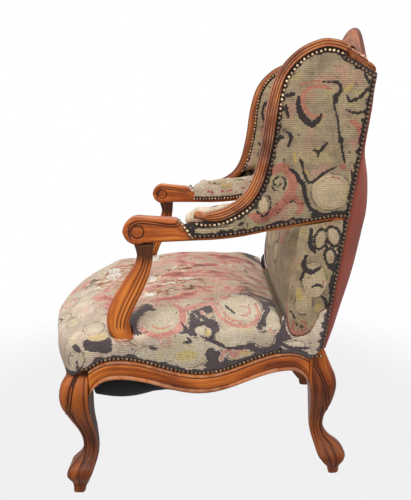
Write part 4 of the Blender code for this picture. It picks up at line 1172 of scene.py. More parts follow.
@dataclass
class SeatRails:
    """Serpentine moulded rails between the legs."""

    form: ChairForm
    wood: Material
    apron: float = 0.015
    thick: float = 0.038
    rebate: float = 0.010
    lower_bead: float = 0.0105
    upper_bead: float = 0.0085

    def build(self) -> None:
        """Builds both side rails and the front rail."""
        form = self.form
        ys = np.linspace(form.leg_inner_y + form.gap, form.shoulder_y - form.gap, 150)
        out, heights, hollow = self._section(*form.side_edges(ys))
        side_rail = Carving(np.stack([form.side_x(ys)[:, None] + out, ys[:, None] + 0 * out, heights], axis=2))
        side_rail.hollow = hollow
        for side in Side:
            side_rail.put(f"moulded_side_rail_{side.tag}", side, 1.7 + 0.3 * side.value, self.wood,
                          f"side_rail_{side.tag}")
        reach = form.leg_inner_x - form.gap
        xs = np.linspace(-reach, reach, 170)
        out, heights, hollow = self._section(*form.front_edges(xs))
        front_rail = Carving(np.stack([xs[:, None] + 0 * out, form.front_y(xs)[:, None] - out, heights], axis=2))
        front_rail.hollow = hollow
        front_rail.put("moulded_front_rail", Side.LEFT, 2.6, self.wood, "front_rail")

    def _section(self, low: Array, high: Array) -> tuple[Array, Array, Array]:
        """Sections of the moulding along a rail.

        Args:
            low: Lower edges of the band.
            high: Upper edges of the band.

        Returns:
            Distances out of the face, heights and hollow-and-shade values, one row for each section.
        """
        turn = np.radians(np.linspace(-75, 90, 9))
        # Positive values darken grooves with dirt; negative values pale the beads and the face's swell with wear and
        # a painted highlight.
        lower = [(0.0048 * (math.cos(a) - 1), self.lower_bead * (0.5 + 0.5 * math.sin(a)), -0.9) for a in turn]
        upper = [(0.0040 * (math.cos(a) - 1), self.upper_bead * (math.sin(a) - 1) * 0.5, -0.9) for a in turn]
        rows = []
        for one_low, one_high in zip(low, high):
            face_low, face_high = one_low + self.lower_bead + 0.0022, one_high - self.upper_bead - 0.0022
            ring = [(-self.apron, one_low, 0.5)]
            ring += [(n, one_low + z, hollow) for n, z, hollow in lower]
            ring.append((-0.0046, face_low - 0.0012, 2.2))
            for share in np.linspace(0, 1, 9):
                swell = 0.0010 * math.sin(math.pi * share)
                ring.append((-0.0022 + swell, face_low + (face_high - face_low) * share, -0.3 * swell * 1000))
            ring.append((-0.0046, face_high + 0.0012, 2.2))
            ring += [(n, one_high + z, hollow) for n, z, hollow in upper]
            ring += [(-self.rebate, one_high, 1.5), (-self.rebate, self.form.rail_top, 0.5),
                     (-self.thick, self.form.rail_top, 0.5), (-self.thick, self.form.rail_core, 0.5),
                     (-self.apron, self.form.rail_core, 0.5)]
            rows.append(ring)
        table = np.array(rows)
        return table[..., 0], table[..., 1], table[..., 2]


@dataclass
class Arms:
    """Arm posts and arm rails with scrolled hands."""

    form: ChairForm
    wood: Material
    post_rows: Rows = (
        (0.000, -0.209, -0.163), (0.058, -0.219, -0.171), (0.147, -0.224, -0.175), (0.254, -0.223, -0.168),
        (0.384, -0.214, -0.155), (0.523, -0.197, -0.140), (0.663, -0.178, -0.128), (0.774, -0.161, -0.122),
        (0.876, -0.154, -0.119), (0.941, -0.156, -0.118), (1.000, -0.160, -0.117),
    )
    edge: float = 0.0075
    groove: float = 0.0022

    def build(self) -> None:
        """Builds both posts and both arms."""
        post, arm = self._post(), self._arm()
        for side in Side:
            drift = 0.2 * side.value
            post.put(f"fluted_arm_post_{side.tag}", side, 3.1 + drift, self.wood, f"arm_post_{side.tag}")
            arm.put(f"scrolled_arm_{side.tag}", side, 4.3 + drift, self.wood, f"arm_{side.tag}")

    def _post(self) -> Carving:
        """A post on the left with three flutes along its rear half."""
        form = self.form
        low = form.rail_top + form.gap
        high = form.scroll_z - form.scroll_radius - form.gap
        rises = np.linspace(0.0, 1.0, 90)
        rows = smooth_at(self.post_rows, rises)
        rings, shares = [], []
        for rise, (front, back) in zip(rises, rows):
            middle = float(form.side_x((front + back) / 2))
            ring = box_ring((middle - 0.030 - 0.012 * rise, front), (middle + 0.006 - 0.008 * rise, back),
                            (0.008, 0.008, 0.013, 0.013), 7, 14)
            shares.append((ring[:, 1] - front) / (back - front))
            rings.append(np.column_stack([ring, np.full(len(ring), low + (high - low) * rise)]))
        carving = Carving(np.array(rings))
        u = np.array(shares)
        rise = rises[:, None]
        size = (rows[:, 1] - rows[:, 0])[:, None]
        length = ease((rise - 0.07) / 0.08) * (1 - ease((rise - 0.90) / 0.08))
        sideways = np.abs(carving.normals()[..., 0])
        depth = np.zeros(u.shape)
        for share in (0.50, 0.66, 0.82):
            depth += 0.0017 * bump((u - share) * size, 0.0018)
        depth -= 0.0008 * bump((u - 0.58) * size, 0.002) + 0.0008 * bump((u - 0.74) * size, 0.002)
        carving.cut(depth * length * ease((sideways - 0.4) / 0.4))
        # Painted shade at the top of the post, under the arm's hand.
        carving.hollow += 1.7 * ease((rise - 0.70) / 0.26)
        return carving

    def _arm(self) -> Carving:
        """An arm on the left, its hand carved with a volute."""
        form = self.form
        tip = form.scroll_y - form.scroll_radius
        turn = np.linspace(0, math.pi / 2, 22)[:-1]
        fine = np.linspace(form.scroll_y, form.arm_cover_start - 0.005, 90)
        end = float(form.stile_front(0.68)) - form.gap
        ys = np.concatenate([tip + 0.0001 + form.scroll_radius * (1 - np.cos(turn)), fine,
                             np.linspace(form.arm_cover_start, end, 24)])
        reach = np.sqrt(np.maximum(form.scroll_radius**2 - (ys - form.scroll_y) ** 2, 0.0))
        cheek = form.scroll_y + form.scroll_radius * math.cos(math.radians(65))
        low = np.where(ys < cheek, form.scroll_z - reach,
                       np.where(ys < form.low_arm[0][0], form.low_arm[0][1] - 0.0008, form.arm_low(ys)))
        crown = form.scroll_z + form.scroll_radius
        top_rows = ((form.scroll_y, crown), (-0.105, crown - 0.004), (-0.076, crown - 0.006), (-0.064, crown - 0.009),
                    (form.arm_cover_start - 0.004, crown - 0.018))
        high = np.where(ys < form.scroll_y, form.scroll_z + reach,
                        np.where(ys < form.arm_cover_start - 0.003, smooth_at(top_rows, ys)[:, 0],
                                 form.arm_high(ys)))
        rings = []
        for y, z0, z1 in zip(ys, low, high):
            outer = float(form.side_x(y))
            z1 = max(z1, z0 + 0.0008)
            ring = box_ring((outer - form.arm_width, z0), (outer, z1), (self.edge,) * 4, 6, 44)
            rings.append(np.column_stack([ring[:, 0], np.full(len(ring), y), ring[:, 1]]))
        carving = Carving(np.array(rings))
        y, z = carving.rings[..., 1], carving.rings[..., 2]
        sideways = ease((np.abs(carving.normals()[..., 0]) - 0.55) / 0.35)
        eye_y, eye_z = -0.149, 0.640
        roll = smooth_path([(eye_y - 0.016, eye_z - 0.012), (eye_y - 0.0195, eye_z), (eye_y - 0.017, eye_z + 0.0125),
                            (eye_y - 0.008, eye_z + 0.0215), (eye_y + 0.004, eye_z + 0.0247), (-0.125, 0.6635),
                            (-0.104, 0.6600), (-0.084, 0.6560), (-0.068, 0.6555), (-0.056, 0.6600)], 60)
        from_eye = np.hypot(y - eye_y, z - eye_z)
        apart = far_from(roll, y, z)
        below = far_from(roll + np.array([0.0012, -0.0056]), y, z)
        angle = np.radians(np.linspace(0, 500, 60))
        curl = 0.0022 + 0.0076 * angle / angle[-1]
        spiral = np.column_stack([eye_y - curl * np.cos(angle), eye_z + curl * np.sin(angle)])
        depth = self.groove * bump(apart, 0.0017) + 0.8 * self.groove * bump(below, 0.0015)
        depth -= 0.0009 * bump(far_from(roll + np.array([0.0006, -0.0028]), y, z), 0.0016)
        depth += 1.1 * self.groove * bump(from_eye - 0.0136, 0.0016) * ease((from_eye - 0.010) / 0.002)
        depth += 0.7 * self.groove * bump(far_from(spiral, y, z), 0.0012) - 0.0014 * bump(from_eye, 0.009)
        fade = 1 - ease((y - form.arm_cover_start + 0.004) / 0.004)
        carving.cut(depth * sideways * fade)
        return carving


@dataclass
class Wings:
    """Reeded wing rails that end in a leaf on the arm."""

    form: ChairForm
    wood: Material
    leaf_wood: Material
    reeds: int = 4
    reed_depth: float = 0.0021
    leaf_long: float = 0.033
    leaf_half: float = 0.0080

    def build(self) -> None:
        """Builds both wing rails and their leaves."""
        rail, leaf = self._rail(), self._leaf()
        for side in Side:
            drift = 0.2 * side.value
            rail.put(f"reeded_wing_rail_{side.tag}", side, 5.2 + drift, self.wood, f"wing_rail_{side.tag}")
            leaf.put(f"wing_leaf_{side.tag}", side, 6.4 + drift, self.leaf_wood)

    def _section(self) -> Array:
        """The rail's section as (share across, distance out of the side plane, hollow and shade)."""
        form = self.form
        rows = []
        # Grooves between the reeds darken with dirt; reed crests pale with wear and a painted highlight.
        for share in np.linspace(-0.94, 0.94, 6 * self.reeds + 1):
            phase = (share + 0.94) / 1.88 * self.reeds * math.pi
            reed = abs(math.sin(phase)) ** 0.7
            rows.append((share, form.wing_out - 0.0004 - self.reed_depth * (1 - reed) - 0.0022 * share**4,
                         2.3 * (1 - reed) - 0.9 * reed))
        for n in np.linspace(form.wing_out - 0.006, 0.006 - form.wing_in, 13):
            share = (n - 0.006 + form.wing_in) / (form.wing_out + form.wing_in - 0.012)
            reed = abs(math.sin(share * 3 * math.pi)) ** 0.7
            rows.append((1.0 + 0.05 * reed, n, 1.6 * (1 - reed) - 0.6 * reed))
        rows += [(0.6, -form.wing_in, 0.0), (-0.6, -form.wing_in, 0.0), (-1.0, 0.004 - form.wing_in, 0.8),
                 (-1.0, form.wing_out - 0.005, 1.0)]
        return np.array(rows)

    def _rail(self) -> Carving:
        """A wing rail on the left."""
        form = self.form
        path, across = form.wing_path(230)
        section = self._section()
        run = along(path)
        leaf = 0.4 + 0.6 * ease(run / 0.060)
        share = np.maximum(section[None, :, 0], -form.wing_narrow(path[:, 1:]))
        reach = share * form.wing_band / 2 * leaf[:, None]
        spots = path[:, None, :] + across[:, None, :] * reach[..., None]
        out = section[None, :, 1] * (0.6 + 0.4 * leaf[:, None])
        x = form.side_x(spots[..., 0]) + out
        carving = Carving(np.stack([x, spots[..., 0], spots[..., 1]], axis=2))
        carving.hollow = np.repeat(section[None, :, 2], len(path), axis=0) * ease(run / 0.03)[:, None]
        return carving

    def _leaf(self) -> Carving:
        """The smooth raised leaf that ends a rail."""
        form = self.form
        path, _ = form.wing_path(230)
        start = path[0] + np.array([0.000, 0.004])
        rings = []
        shares = np.linspace(0.004, 0.996, 34)
        turn = np.linspace(0, 2 * math.pi, 40, endpoint=False)
        for share in shares:
            half = self.leaf_half * math.sin(math.pi * share**0.8) ** 0.8
            y = start[0] + self.leaf_long * share
            z = start[1] - 0.004 * share + half * np.sin(turn)
            x = float(form.side_x(y)) + 0.0060 + (0.0062 * (half / self.leaf_half) + 0.0006) * np.cos(turn)
            rings.append(np.column_stack([x, np.full(len(turn), y), z]))
        carving = Carving(np.array(rings))
        # Painted shade on the leaf's half toward the cover, and a painted highlight on its outer half.
        carving.hollow = np.repeat((1.6 * (np.cos(turn) < 0.15) - 1.0)[None, :], len(shares), 0)
        return carving


@dataclass
class Crest:
    """The arched crest rail with lengthwise grooves."""

    form: ChairForm
    wood: Material
    outline: Path = field(default_factory=lambda: [
        (1.00, 0.00), (1.04, 0.35), (1.02, 0.72), (0.92, 0.95), (0.70, 1.00), (0.40, 1.00),
        (0.12, 0.97), (0.00, 0.84), (0.00, 0.00)])
    blade_back: float = 0.004
    reed: float = 0.0078

    def build(self) -> None:
        """Builds the crest."""
        form = self.form
        xs = np.linspace(-form.crest_reach, form.crest_reach, 210)
        front, rear, low, high, lift = form.crest_at(xs)
        front = front + self.blade_back * (1 - lift / form.crest_end_lift)
        ring = even(np.array(self.outline), 74)
        u, v = ring[:, 0], ring[:, 1]
        deep, tall = (rear - front)[:, None], (high - low)[:, None]
        y = front[:, None] + deep * u
        swell = 1 + 0.5 * lift[:, None] / form.crest_end_lift * (1 - u)
        z = low[:, None] + tall * v * swell + lift[:, None] * (1 - u)
        carving = Carving(np.stack([np.repeat(xs[:, None], len(u), 1), y, z], axis=2))
        rise = v * tall
        depth = np.zeros(y.shape)
        for share in (0.22, 0.50, 0.78):
            depth += 0.0020 * bump((u - share) * deep, 0.0017) * (v > 0.85)
        for share in (0.30, 0.62):
            depth += 0.0017 * bump(rise - share * tall, 0.0017) * (u > 0.9)
        bent = 4 * lift[:, None] * (form.crest_end_lift - lift[:, None]) / form.crest_end_lift**2
        depth += 0.0022 * bent * (u < 0.15) * (0.5 - 0.5 * np.cos(2 * math.pi * y / self.reed)) ** 2
        carving.cut(depth)
        carving.put("carved_crest", Side.LEFT, 7.7, self.wood, "crest_rail")


class Drawing:
    """Wool shapes drawn on one cover, in its own flat millimetres.

    Every method takes rows of numbers, one row for each shape.
    """

    def __init__(self) -> None:
        """Starts with a bare cover."""
        self.strokes: list[tuple[Wool, Array, Array]] = []
        self.filled: list[tuple[Wool, float, float, float, float, float]] = []
        self.lifted: list[int] = []
        self.grounds: list[tuple[float, float, float, float]] = []

    def zones(self, rows: Rows) -> None:
        """Ovals (u, v, width, height) in which dark wool fills the gaps between the other shapes."""
        self.grounds += [(u, v, wide / 2, tall / 2) for u, v, wide, tall in rows]

    def bands(self, wool: Wool, rows: Rows) -> None:
        """Strokes along smooth lines.

        Args:
            wool: The wool that they are worked in.
            rows: The width at the middle and at both ends, then u and v of each point on the line.
        """
        for wide, end, *points in rows:
            path = smooth_path(np.reshape(points, (-1, 2)), 3 * len(points))
            t = np.linspace(-1, 1, len(path))
            self.strokes.append((wool, path, (wide + (end - wide) * t**2) / 2))

    def ovals(self, wool: Wool, rows: Rows) -> None:
        """Filled ovals (u, v, width, height), with a turn in degrees where they are turned."""
        for u, v, wide, tall, *turn in rows:
            self.filled.append((wool, u, v, wide / 2, tall / 2, math.radians(turn[0] if turn else 0)))

    def petals(self, rows: Rows) -> None:
        """Pale ovals (u, v, width, height, turn, line) that stand on the dark wool inside a dark line."""
        for u, v, wide, tall, turn, line in rows:
            self.ovals(DARK, ((u, v, wide + 2 * line, tall + 2 * line, turn),))
            self.lifted.append(len(self.filled))
            self.ovals(LEAF, ((u, v, wide, tall, turn),))

    def rims(self, wool: Wool, rows: Rows) -> None:
        """Parts of ovals' edges (u, v, width, height, line, first angle, last angle) as strokes."""
        for u, v, wide, tall, line, start, end in rows:
            angles = np.radians(np.linspace(start, end, 30))
            path = np.column_stack([u + wide / 2 * np.cos(angles), v + tall / 2 * np.sin(angles)])
            self.strokes.append((wool, path, np.full(30, line / 2)))

    def spirals(self, wool: Wool, rows: Rows) -> None:
        """Strokes (u, v, width, height, turns, line, first angle) that wind from a centre out to an oval."""
        for u, v, wide, tall, turns, line, start in rows:
            t = np.linspace(0.08, 1.0, int(34 * abs(turns)))
            angles = math.radians(start) + 2 * math.pi * turns * t
            path = np.column_stack([u + wide / 2 * t * np.cos(angles), v + tall / 2 * t * np.sin(angles)])
            self.strokes.append((wool, path, line / 2 * (0.6 + 0.4 * t)))

    def flowers(self, wool: Wool, rows: Rows) -> None:
        """Rings of oval petals (u, v, size, petals, turn)."""
        for u, v, size, petals, turn in rows:
            for k in range(petals):
                angle = turn + 360 * k / petals
                way = math.radians(angle)
                self.ovals(wool, ((u + 0.5 * size * math.cos(way), v + 0.5 * size * math.sin(way), 0.72 * size,
                                   0.5 * size, angle),))

    def worked(self, u: Array, v: Array) -> Array:
        """Signed distances in centimetres to each wool's shapes.

        Args:
            u: First flat coordinates in metres.
            v: Second flat coordinates in metres.

        Returns:
            One row of four distances for each place, less than 0 inside a shape.
        """
        u, v = np.asarray(u) * 1000, np.asarray(v) * 1000
        out = np.full((len(u), 4), 60.0)
        for wool, path, half in self.strokes:
            best = out[:, wool.value]
            (left, low), (right, high) = path.min(axis=0) - 60, path.max(axis=0) + 60
            near = np.flatnonzero((u > left) & (u < right) & (v > low) & (v < high))
            here = best[near]
            for (a, b), (c, d), wide, after in zip(path[:-1], path[1:], half[:-1], half[1:]):
                run = max((c - a) ** 2 + (d - b) ** 2, 1e-12)
                t = np.clip(((u[near] - a) * (c - a) + (v[near] - b) * (d - b)) / run, 0, 1)
                gap = np.hypot(u[near] - a - t * (c - a), v[near] - b - t * (d - b))
                here = np.minimum(here, gap - wide - (after - wide) * t)
            best[near] = here
        cut = np.full(len(u), 60.0)
        for number, (wool, cu, cv, ru, rv, turn) in enumerate(self.filled):
            du, dv = u - cu, v - cv
            p = du * math.cos(turn) + dv * math.sin(turn)
            q = dv * math.cos(turn) - du * math.sin(turn)
            share = np.hypot(p / ru, q / rv)
            gap = (share - 1) * np.hypot(p, q) / np.maximum(share, 1e-6)
            gap = np.where(share < 0.05, -min(ru, rv), gap)
            out[:, wool.value] = np.minimum(out[:, wool.value], gap)
            if number in self.lifted:
                cut = np.minimum(cut, gap)
        dark = np.maximum(out[:, DARK.value], -cut)
        forms = 2.0 - out[:, [PINK.value, LEAF.value, OCHRE.value]].min(axis=1)
        for cu, cv, ru, rv in self.grounds:
            zone = (np.hypot((u - cu) / ru, (v - cv) / rv) - 1) * min(ru, rv)
            dark = np.minimum(dark, np.maximum(zone, forms))
        out[:, DARK.value] = dark
        return out / 10


class Designs:
    """The traditional scroll and leaf designs of the covers."""

    @staticmethod
    def wing() -> Drawing:
        """Outside of a wing in (depth, height)."""
        d = Drawing()
        d.bands(PINK, (
            (11, 6, 269, 948, 237, 952, 214, 940, 208, 921, 217, 900, 236, 887, 256, 889),
            (5, 3, 202, 954, 228, 961, 257, 961), (17, 6, 315, 879, 331, 872, 343, 855, 338, 831),
            (21, 18, 148, 771, 168, 780, 186, 766, 194, 742, 184, 715, 168, 696, 148, 680, 126, 669, 106, 672),
            (15, 8, 186, 720, 204, 706, 214, 690, 206, 676), (13, 8, 99, 674, 117, 663, 140, 664)))
        d.ovals(PINK, ((305, 780, 14, 14),))
        d.bands(DARK, (
            (15, 6, 201, 929, 199, 915, 204, 898, 214, 883, 230, 872, 243, 879, 251, 891),
            (7, 4, 250, 961, 279, 961, 288, 957, 293, 946, 285, 932, 279, 915, 285, 894, 290, 877),
            (7, 4, 290, 877, 292, 855, 298, 840, 300, 828, 303, 810, 308, 789),
            (8, 4, 307, 932, 312, 921, 323, 923, 339, 932, 351, 945, 360, 953),
            (6, 3, 307, 902, 325, 896, 343, 898, 359, 900), (9, 4, 343, 978, 352, 965, 362, 956),
            (9, 5, 172, 933, 190, 935), (9, 5, 173, 912, 178, 885), (9, 5, 174, 858, 186, 845, 180, 825),
            (9, 5, 160, 850, 168, 842), (9, 5, 208, 795, 213, 788),
            (8, 4, 236, 816, 250, 814, 261, 825, 267, 831), (7, 4, 250, 814, 248, 803),
            (7, 5, 211, 792, 215, 775, 221, 759, 230, 746, 244, 750, 259, 763, 275, 772, 290, 779),
            (11, 7, 186, 776, 200, 765, 206, 752, 216, 742, 219, 726, 225, 706, 235, 687, 253, 678),
            (11, 9, 242, 676, 270, 671, 300, 675, 326, 673), (7, 5, 326, 770, 331, 735, 331, 705, 325, 681),
            (5, 4, 172, 729, 177, 747, 167, 758, 155, 756, 150, 746, 158, 737, 165, 742),
            (5, 3, 145, 742, 152, 730, 160, 728), (5, 3, 186, 700, 196, 706, 203, 698),
            (4, 3, 160, 676, 166, 690)))
        d.ovals(DARK, (
            (281, 926, 12, 24), (297, 838, 14, 18), (-4, 650, 15, 7, 20), (30, 630, 15, 7, 20),
            (56, 640, 15, 7, 20), (78, 655, 15, 7, 20)))
        d.ovals(LEAF, ((128, 697, 24, 42, 8), (281, 723, 92, 84)))
        d.rims(DARK, ((128, 697, 31, 50, 5, 100, 420),))
        d.bands(LEAF, ((16, 8, -20, 640, 20, 640, 60, 648),))
        d.ovals(OCHRE, ((310, 950, 26, 12, 40), (196, 800, 10, 26, 10), (222, 768, 10, 16, 30)))
        return d

    @staticmethod
    def seat_side() -> Drawing:
        """Side of the seat in (depth, rise over the edge)."""
        d = Drawing()
        d.ovals(LEAF, (
            (76, 128, 116, 150), (161, 105, 44, 100), (64, 46, 86, 58), (106, 52, 36, 44), (137, 36, 52, 40),
            (150, 72, 34, 30), (-35, 12, 92, 74), (-112, 12, 110, 44), (-98, 112, 118, 128, -20),
            (-62, 40, 70, 40), (20, 28, 44, 26, -20), (207, 17, 60, 22), (212, 70, 44, 70), (186, 150, 26, 50),
            (84, -2, 70, 22), (-258, 101, 50, 64), (-286, 276, 80, 40, -30), (110, 236, 59, 40),
            (-293, 11, 40, 44), (-12, 72, 24, 46, 20), (4, 108, 20, 40, -30), (-30, 118, 18, 40, 24),
            (-10, 190, 90, 24, 8), (60, 222, 50, 26)))
        d.zones(((72, 92, 290, 270), (-152, 128, 70, 130), (-244, 46, 66, 46)))
        d.bands(PINK, (
            (10, 7, 17, 201, 20, 155, 34, 110, 60, 81, 90, 74, 114, 85, 125, 113, 119, 156),
            (6, 4, 30, 200, 34, 154, 51, 108, 77, 89, 99, 97),
            (7, 5, 79, 152, 99, 149, 105, 128, 95, 109, 80, 115), (16, 12, -54, 151, -28, 164, -2, 171, 19, 173),
            (6, 4, -54, 136, -37, 147, -10, 157), (10, 8, 36, -9, 45, 11, 58, 12, 63, -1, 74, 0, 78, 11, 100, 6),
            (18, 11, -77, 174, -59, 149, -53, 113, -63, 77, -86, 61, -111, 57, -135, 69, -146, 86),
            (7, 5, -78, 93, -95, 82, -114, 83, -123, 96), (8, 5, -10, 137, -5, 121), (6, 4, -35, 90, -37, 74),
            (18, 9, -359, 213, -331, 248, -276, 251, -235, 214),
            (14, 7, -390, 305, -372, 382, -319, 354, -258, 310), (9, 5, -315, 121, -294, 158, -251, 172),
            (4, 4, 147, 58, 158, 67, 169, 57, 161, 48, 147, 58), (5, 4, -105, 47, -95, 26),
            (5, 4, -86, 51, -78, 32), (20, 10, 48, 429, 77, 364, 114, 293, 161, 291),
            (20, 10, 16, 463, 46, 337, 85, 298)))
        d.bands(DARK, (
            (16, 8, -34, 131, -27, 96, -35, 71), (14, 7, -35, 71, -14, 89, 12, 87),
            (13, 6.5, -14, 125, 3, 101, 25, 78), (8, 4, -43, 49, -35, 37, -52, 36),
            (10, 5, -9, 47, 12, 39, 34, 27, 47, 17), (21, 10.5, 4, 4, 17, -8, 12, 10, 25, -2),
            (14, 7, 17, -30, 43, -22, 78, -15, 105, -7), (11, 5.5, 51, 17, 78, 18, 109, 17, 136, 10, 162, 20),
            (10, 5, 108, 28, 111, 15), (13, 6.5, 137, 159, 149, 130, 134, 89, 143, 68),
            (16, 8, 81, 220, 108, 201, 136, 198, 173, 209), (8, 4, 45, 161, 56, 138, 71, 118),
            (9, 4.5, -167, 174, -134, 162, -116, 154), (6, 3, -167, 152, -142, 142), (10, 5, -129, 28, -114, 25),
            (15, 7.5, -297, 44, -291, 36, -285, 28), (20, 10, -268, 32, -249, 38, -225, 27, -216, 39),
            (6, 3, -305, 185, -283, 190, -253, 182), (6, 3, -293, 11, -293, -11), (12, 6, 101, 469, 111, 395),
            (9, 4.5, 83, 266, 114, 293, 133, 271), (9, 4.5, -57, 99, -46, 74, -56, 59),
            (9, 4.5, 21, 100, 29, 70, 21, 55), (10, 5, 166, 30, 202, 10, 247, 8), (7, 3.5, 177, 125, 187, 83)))
        d.ovals(OCHRE, (
            (-62, 220, 23, 20), (2, 230, 41, 18), (-1, 109, 11, 14), (6, 61, 12, 25), (91, 4, 27, 12),
            (-245, 62, 42, 20), (-44, 4, 52, 26), (147, 438, 50, 40)))
        return d

    @staticmethod
    def seat_front() -> Drawing:
        """Front of the seat in (across, rise over the edge)."""
        d = Drawing()
        d.ovals(LEAF, ((0, 90, 150, 110),))
        d.flowers(PINK, ((0, 92, 60, 6, 30),))
        d.ovals(OCHRE, ((0, 92, 26, 26),))
        for way in (1, -1):
            d.ovals(LEAF, ((way * 150, 80, 96, 84, way * 12), (way * 245, 66, 66, 60, way * -20),
                           (way * 300, 100, 60, 50, way * 20), (way * 90, 20, 80, 30),
                           (way * 88, 190, 90, 70, way * 30)))
            d.spirals(PINK, ((way * 150, 82, 84, 80, 1.7 * way, 10, 40),))
            d.bands(PINK, ((14, 8, way * 70, 50, way * 98, 36, way * 126, 44),))
            d.bands(DARK, ((8, 4, way * 215, 40, way * 240, 62, way * 262, 54),))
            d.ovals(OCHRE, ((way * 200, 22, 40, 18),))
            d.ovals(PINK, ((way * 190, 190, 60, 40),))
        return d

    @staticmethod
    def back() -> Drawing:
        """Inside of the back in (across, height)."""
        d = Drawing()
        d.ovals(LEAF, ((0, 760, 190, 240),))
        d.rims(DARK, ((0, 760, 202, 252, 9, 0, 360),))
        d.flowers(PINK, ((0, 775, 74, 7, 12),))
        d.ovals(OCHRE, ((0, 775, 30, 30), (0, 560, 40, 22)))
        d.bands(DARK, ((7, 4, 0, 735, 4, 700, -2, 660),))
        d.bands(PINK, ((18, 10, -60, 580, 0, 600, 60, 580),))
        for way in (1, -1):
            d.bands(OCHRE, ((12, 3, 0, 700, way * 24, 712, way * 44, 702),))
            d.spirals(PINK, ((way * 158, 880, 96, 96, 1.8 * way, 13, 30),
                             (way * 150, 620, 100, 100, -1.7 * way, 14, 60)))
            d.bands(PINK, ((16, 8, way * 120, 690, way * 150, 730, way * 142, 790, way * 120, 830),))
            d.bands(DARK, ((7, 3, way * 136, 690, way * 170, 735, way * 160, 800),
                           (9, 4, way * 60, 960, way * 90, 935, way * 84, 905)))
            d.rims(DARK, ((way * 158, 880, 116, 112, 8, 200, 400), (way * 150, 620, 118, 116, 8, 20, 230),
                          (way * 205, 750, 50, 108, 5, 0, 360), (way * 92, 540, 78, 58, 6, 0, 360)))
            d.ovals(LEAF, ((way * 205, 750, 40, 100, way * 10), (way * 92, 540, 70, 50, way * 20)))
            d.ovals(OCHRE, ((way * 40, 930, 18, 40, way * 20),))
        return d

    @staticmethod
    def back_side() -> Drawing:
        """Side of the back under the arm in (depth, height)."""
        d = Drawing()
        d.petals(((262, 616, 24, 40, -14, 6), (291, 622, 26, 42, 24, 6), (286, 574, 20, 34, 10, 6)))
        d.bands(DARK, (
            (13, 6.5, 230, 578, 224, 556, 242, 539, 263, 550), (9, 4.5, 226, 540, 219, 522),
            (7, 3.5, 246, 503, 260, 508, 272, 503), (14, 7, 276, 600, 282, 560, 300, 540),
            (10, 5, 298, 540, 290, 505, 296, 470), (12, 6, 240, 640, 238, 606, 250, 586),
            (9, 4.5, 268, 480, 280, 468, 286, 440), (4, 2, 192, 452, 204, 436, 217, 405),
            (5, 2.5, 217, 405, 226, 408, 224, 398)))
        d.bands(PINK, (
            (8, 5, 207, 425, 204, 402, 216, 391, 231, 398, 234, 414, 224, 420),
            (5, 4, 188, 470, 190, 430, 197, 402, 212, 386, 232, 389, 250, 400, 266, 432)))
        d.ovals(LEAF, ((250, 520, 60, 90, 10), (228, 466, 44, 60)))
        d.ovals(OCHRE, ((216, 486, 18, 34, 10), (262, 452, 16, 24, -20)))
        return d

    @staticmethod
    def arm_pad() -> Drawing:
        """Top and inside of an arm pad in (depth, arc from the outside)."""
        d = Drawing()
        d.ovals(PINK, (
            (2, 100, 11, 8), (14, 103, 11, 8), (46, 101, 11, 8), (62, 104, 11, 8), (74, 101, 11, 8),
            (110, 102, 11, 8), (150, 103, 11, 8)))
        d.bands(DARK, (
            (6, 3, 18, 66, 24, 72), (6, 3, 80, 62, 104, 66, 116, 74), (6, 3, 140, 66, 160, 72),
            (6, 3, 128, 88, 140, 84), (6, 3, 200, 84, 230, 76), (6, 3, 30, 28, 44, 24), (6, 3, 90, 32, 110, 30)))
        d.ovals(OCHRE, ((60, 84, 40, 22),))
        d.ovals(LEAF, ((30, 60, 60, 34),))
        return d

    @staticmethod
    def wing_inside() -> Drawing:
        """Inside of a wing in (depth, height)."""
        d = Drawing()
        d.spirals(PINK, ((215, 900, 76, 90, 1.6, 11, 40),))
        d.rims(DARK, ((215, 900, 92, 104, 8, 140, 330), (180, 770, 42, 68, 5, 0, 250)))
        d.bands(PINK, ((12, 8, 168, 830, 176, 860, 172, 890),))
        d.bands(DARK, (
            (10, 5, 158, 810, 172, 800, 186, 806), (8, 5, 230, 820, 250, 800, 256, 770, 240, 748),
            (8, 4, 200, 980, 230, 968, 262, 976)))
        d.ovals(LEAF, ((180, 770, 34, 60, 10),))
        d.ovals(OCHRE, ((226, 780, 18, 36, 20),))
        d.ovals(PINK, ((262, 850, 24, 60),))
        return d


def dress_cloth(mesh: Mesh, flat: Array, drawn: Array, nails: Array | None = None,
                wear: Array | None = None, bald: Array | None = None) -> None:
    """Keeps what the tapestry finish reads.

    Args:
        mesh: The cover.
        flat: Flat coordinates of its points in metres.
        drawn: Distances to the drawn wools.
        nails: Distance from the dark border along the nails in metres, less than 0 inside it.
        wear: How worn each point is, 0 to 1.
        bald: How bare of wool each point is, 0 to 1.
    """
    if nails is not None:
        drawn[:, DARK.value] = np.minimum(drawn[:, DARK.value], nails * 100)
    keep(mesh, "cloth", "FLOAT_VECTOR", np.column_stack([flat, np.zeros(len(flat))]))
    keep(mesh, "motif", "FLOAT_COLOR", drawn)
    keep(mesh, "wear", "FLOAT", np.zeros(len(flat)) if wear is None else wear)
    keep(mesh, "bald", "FLOAT", np.zeros(len(flat)) if bald is None else bald)


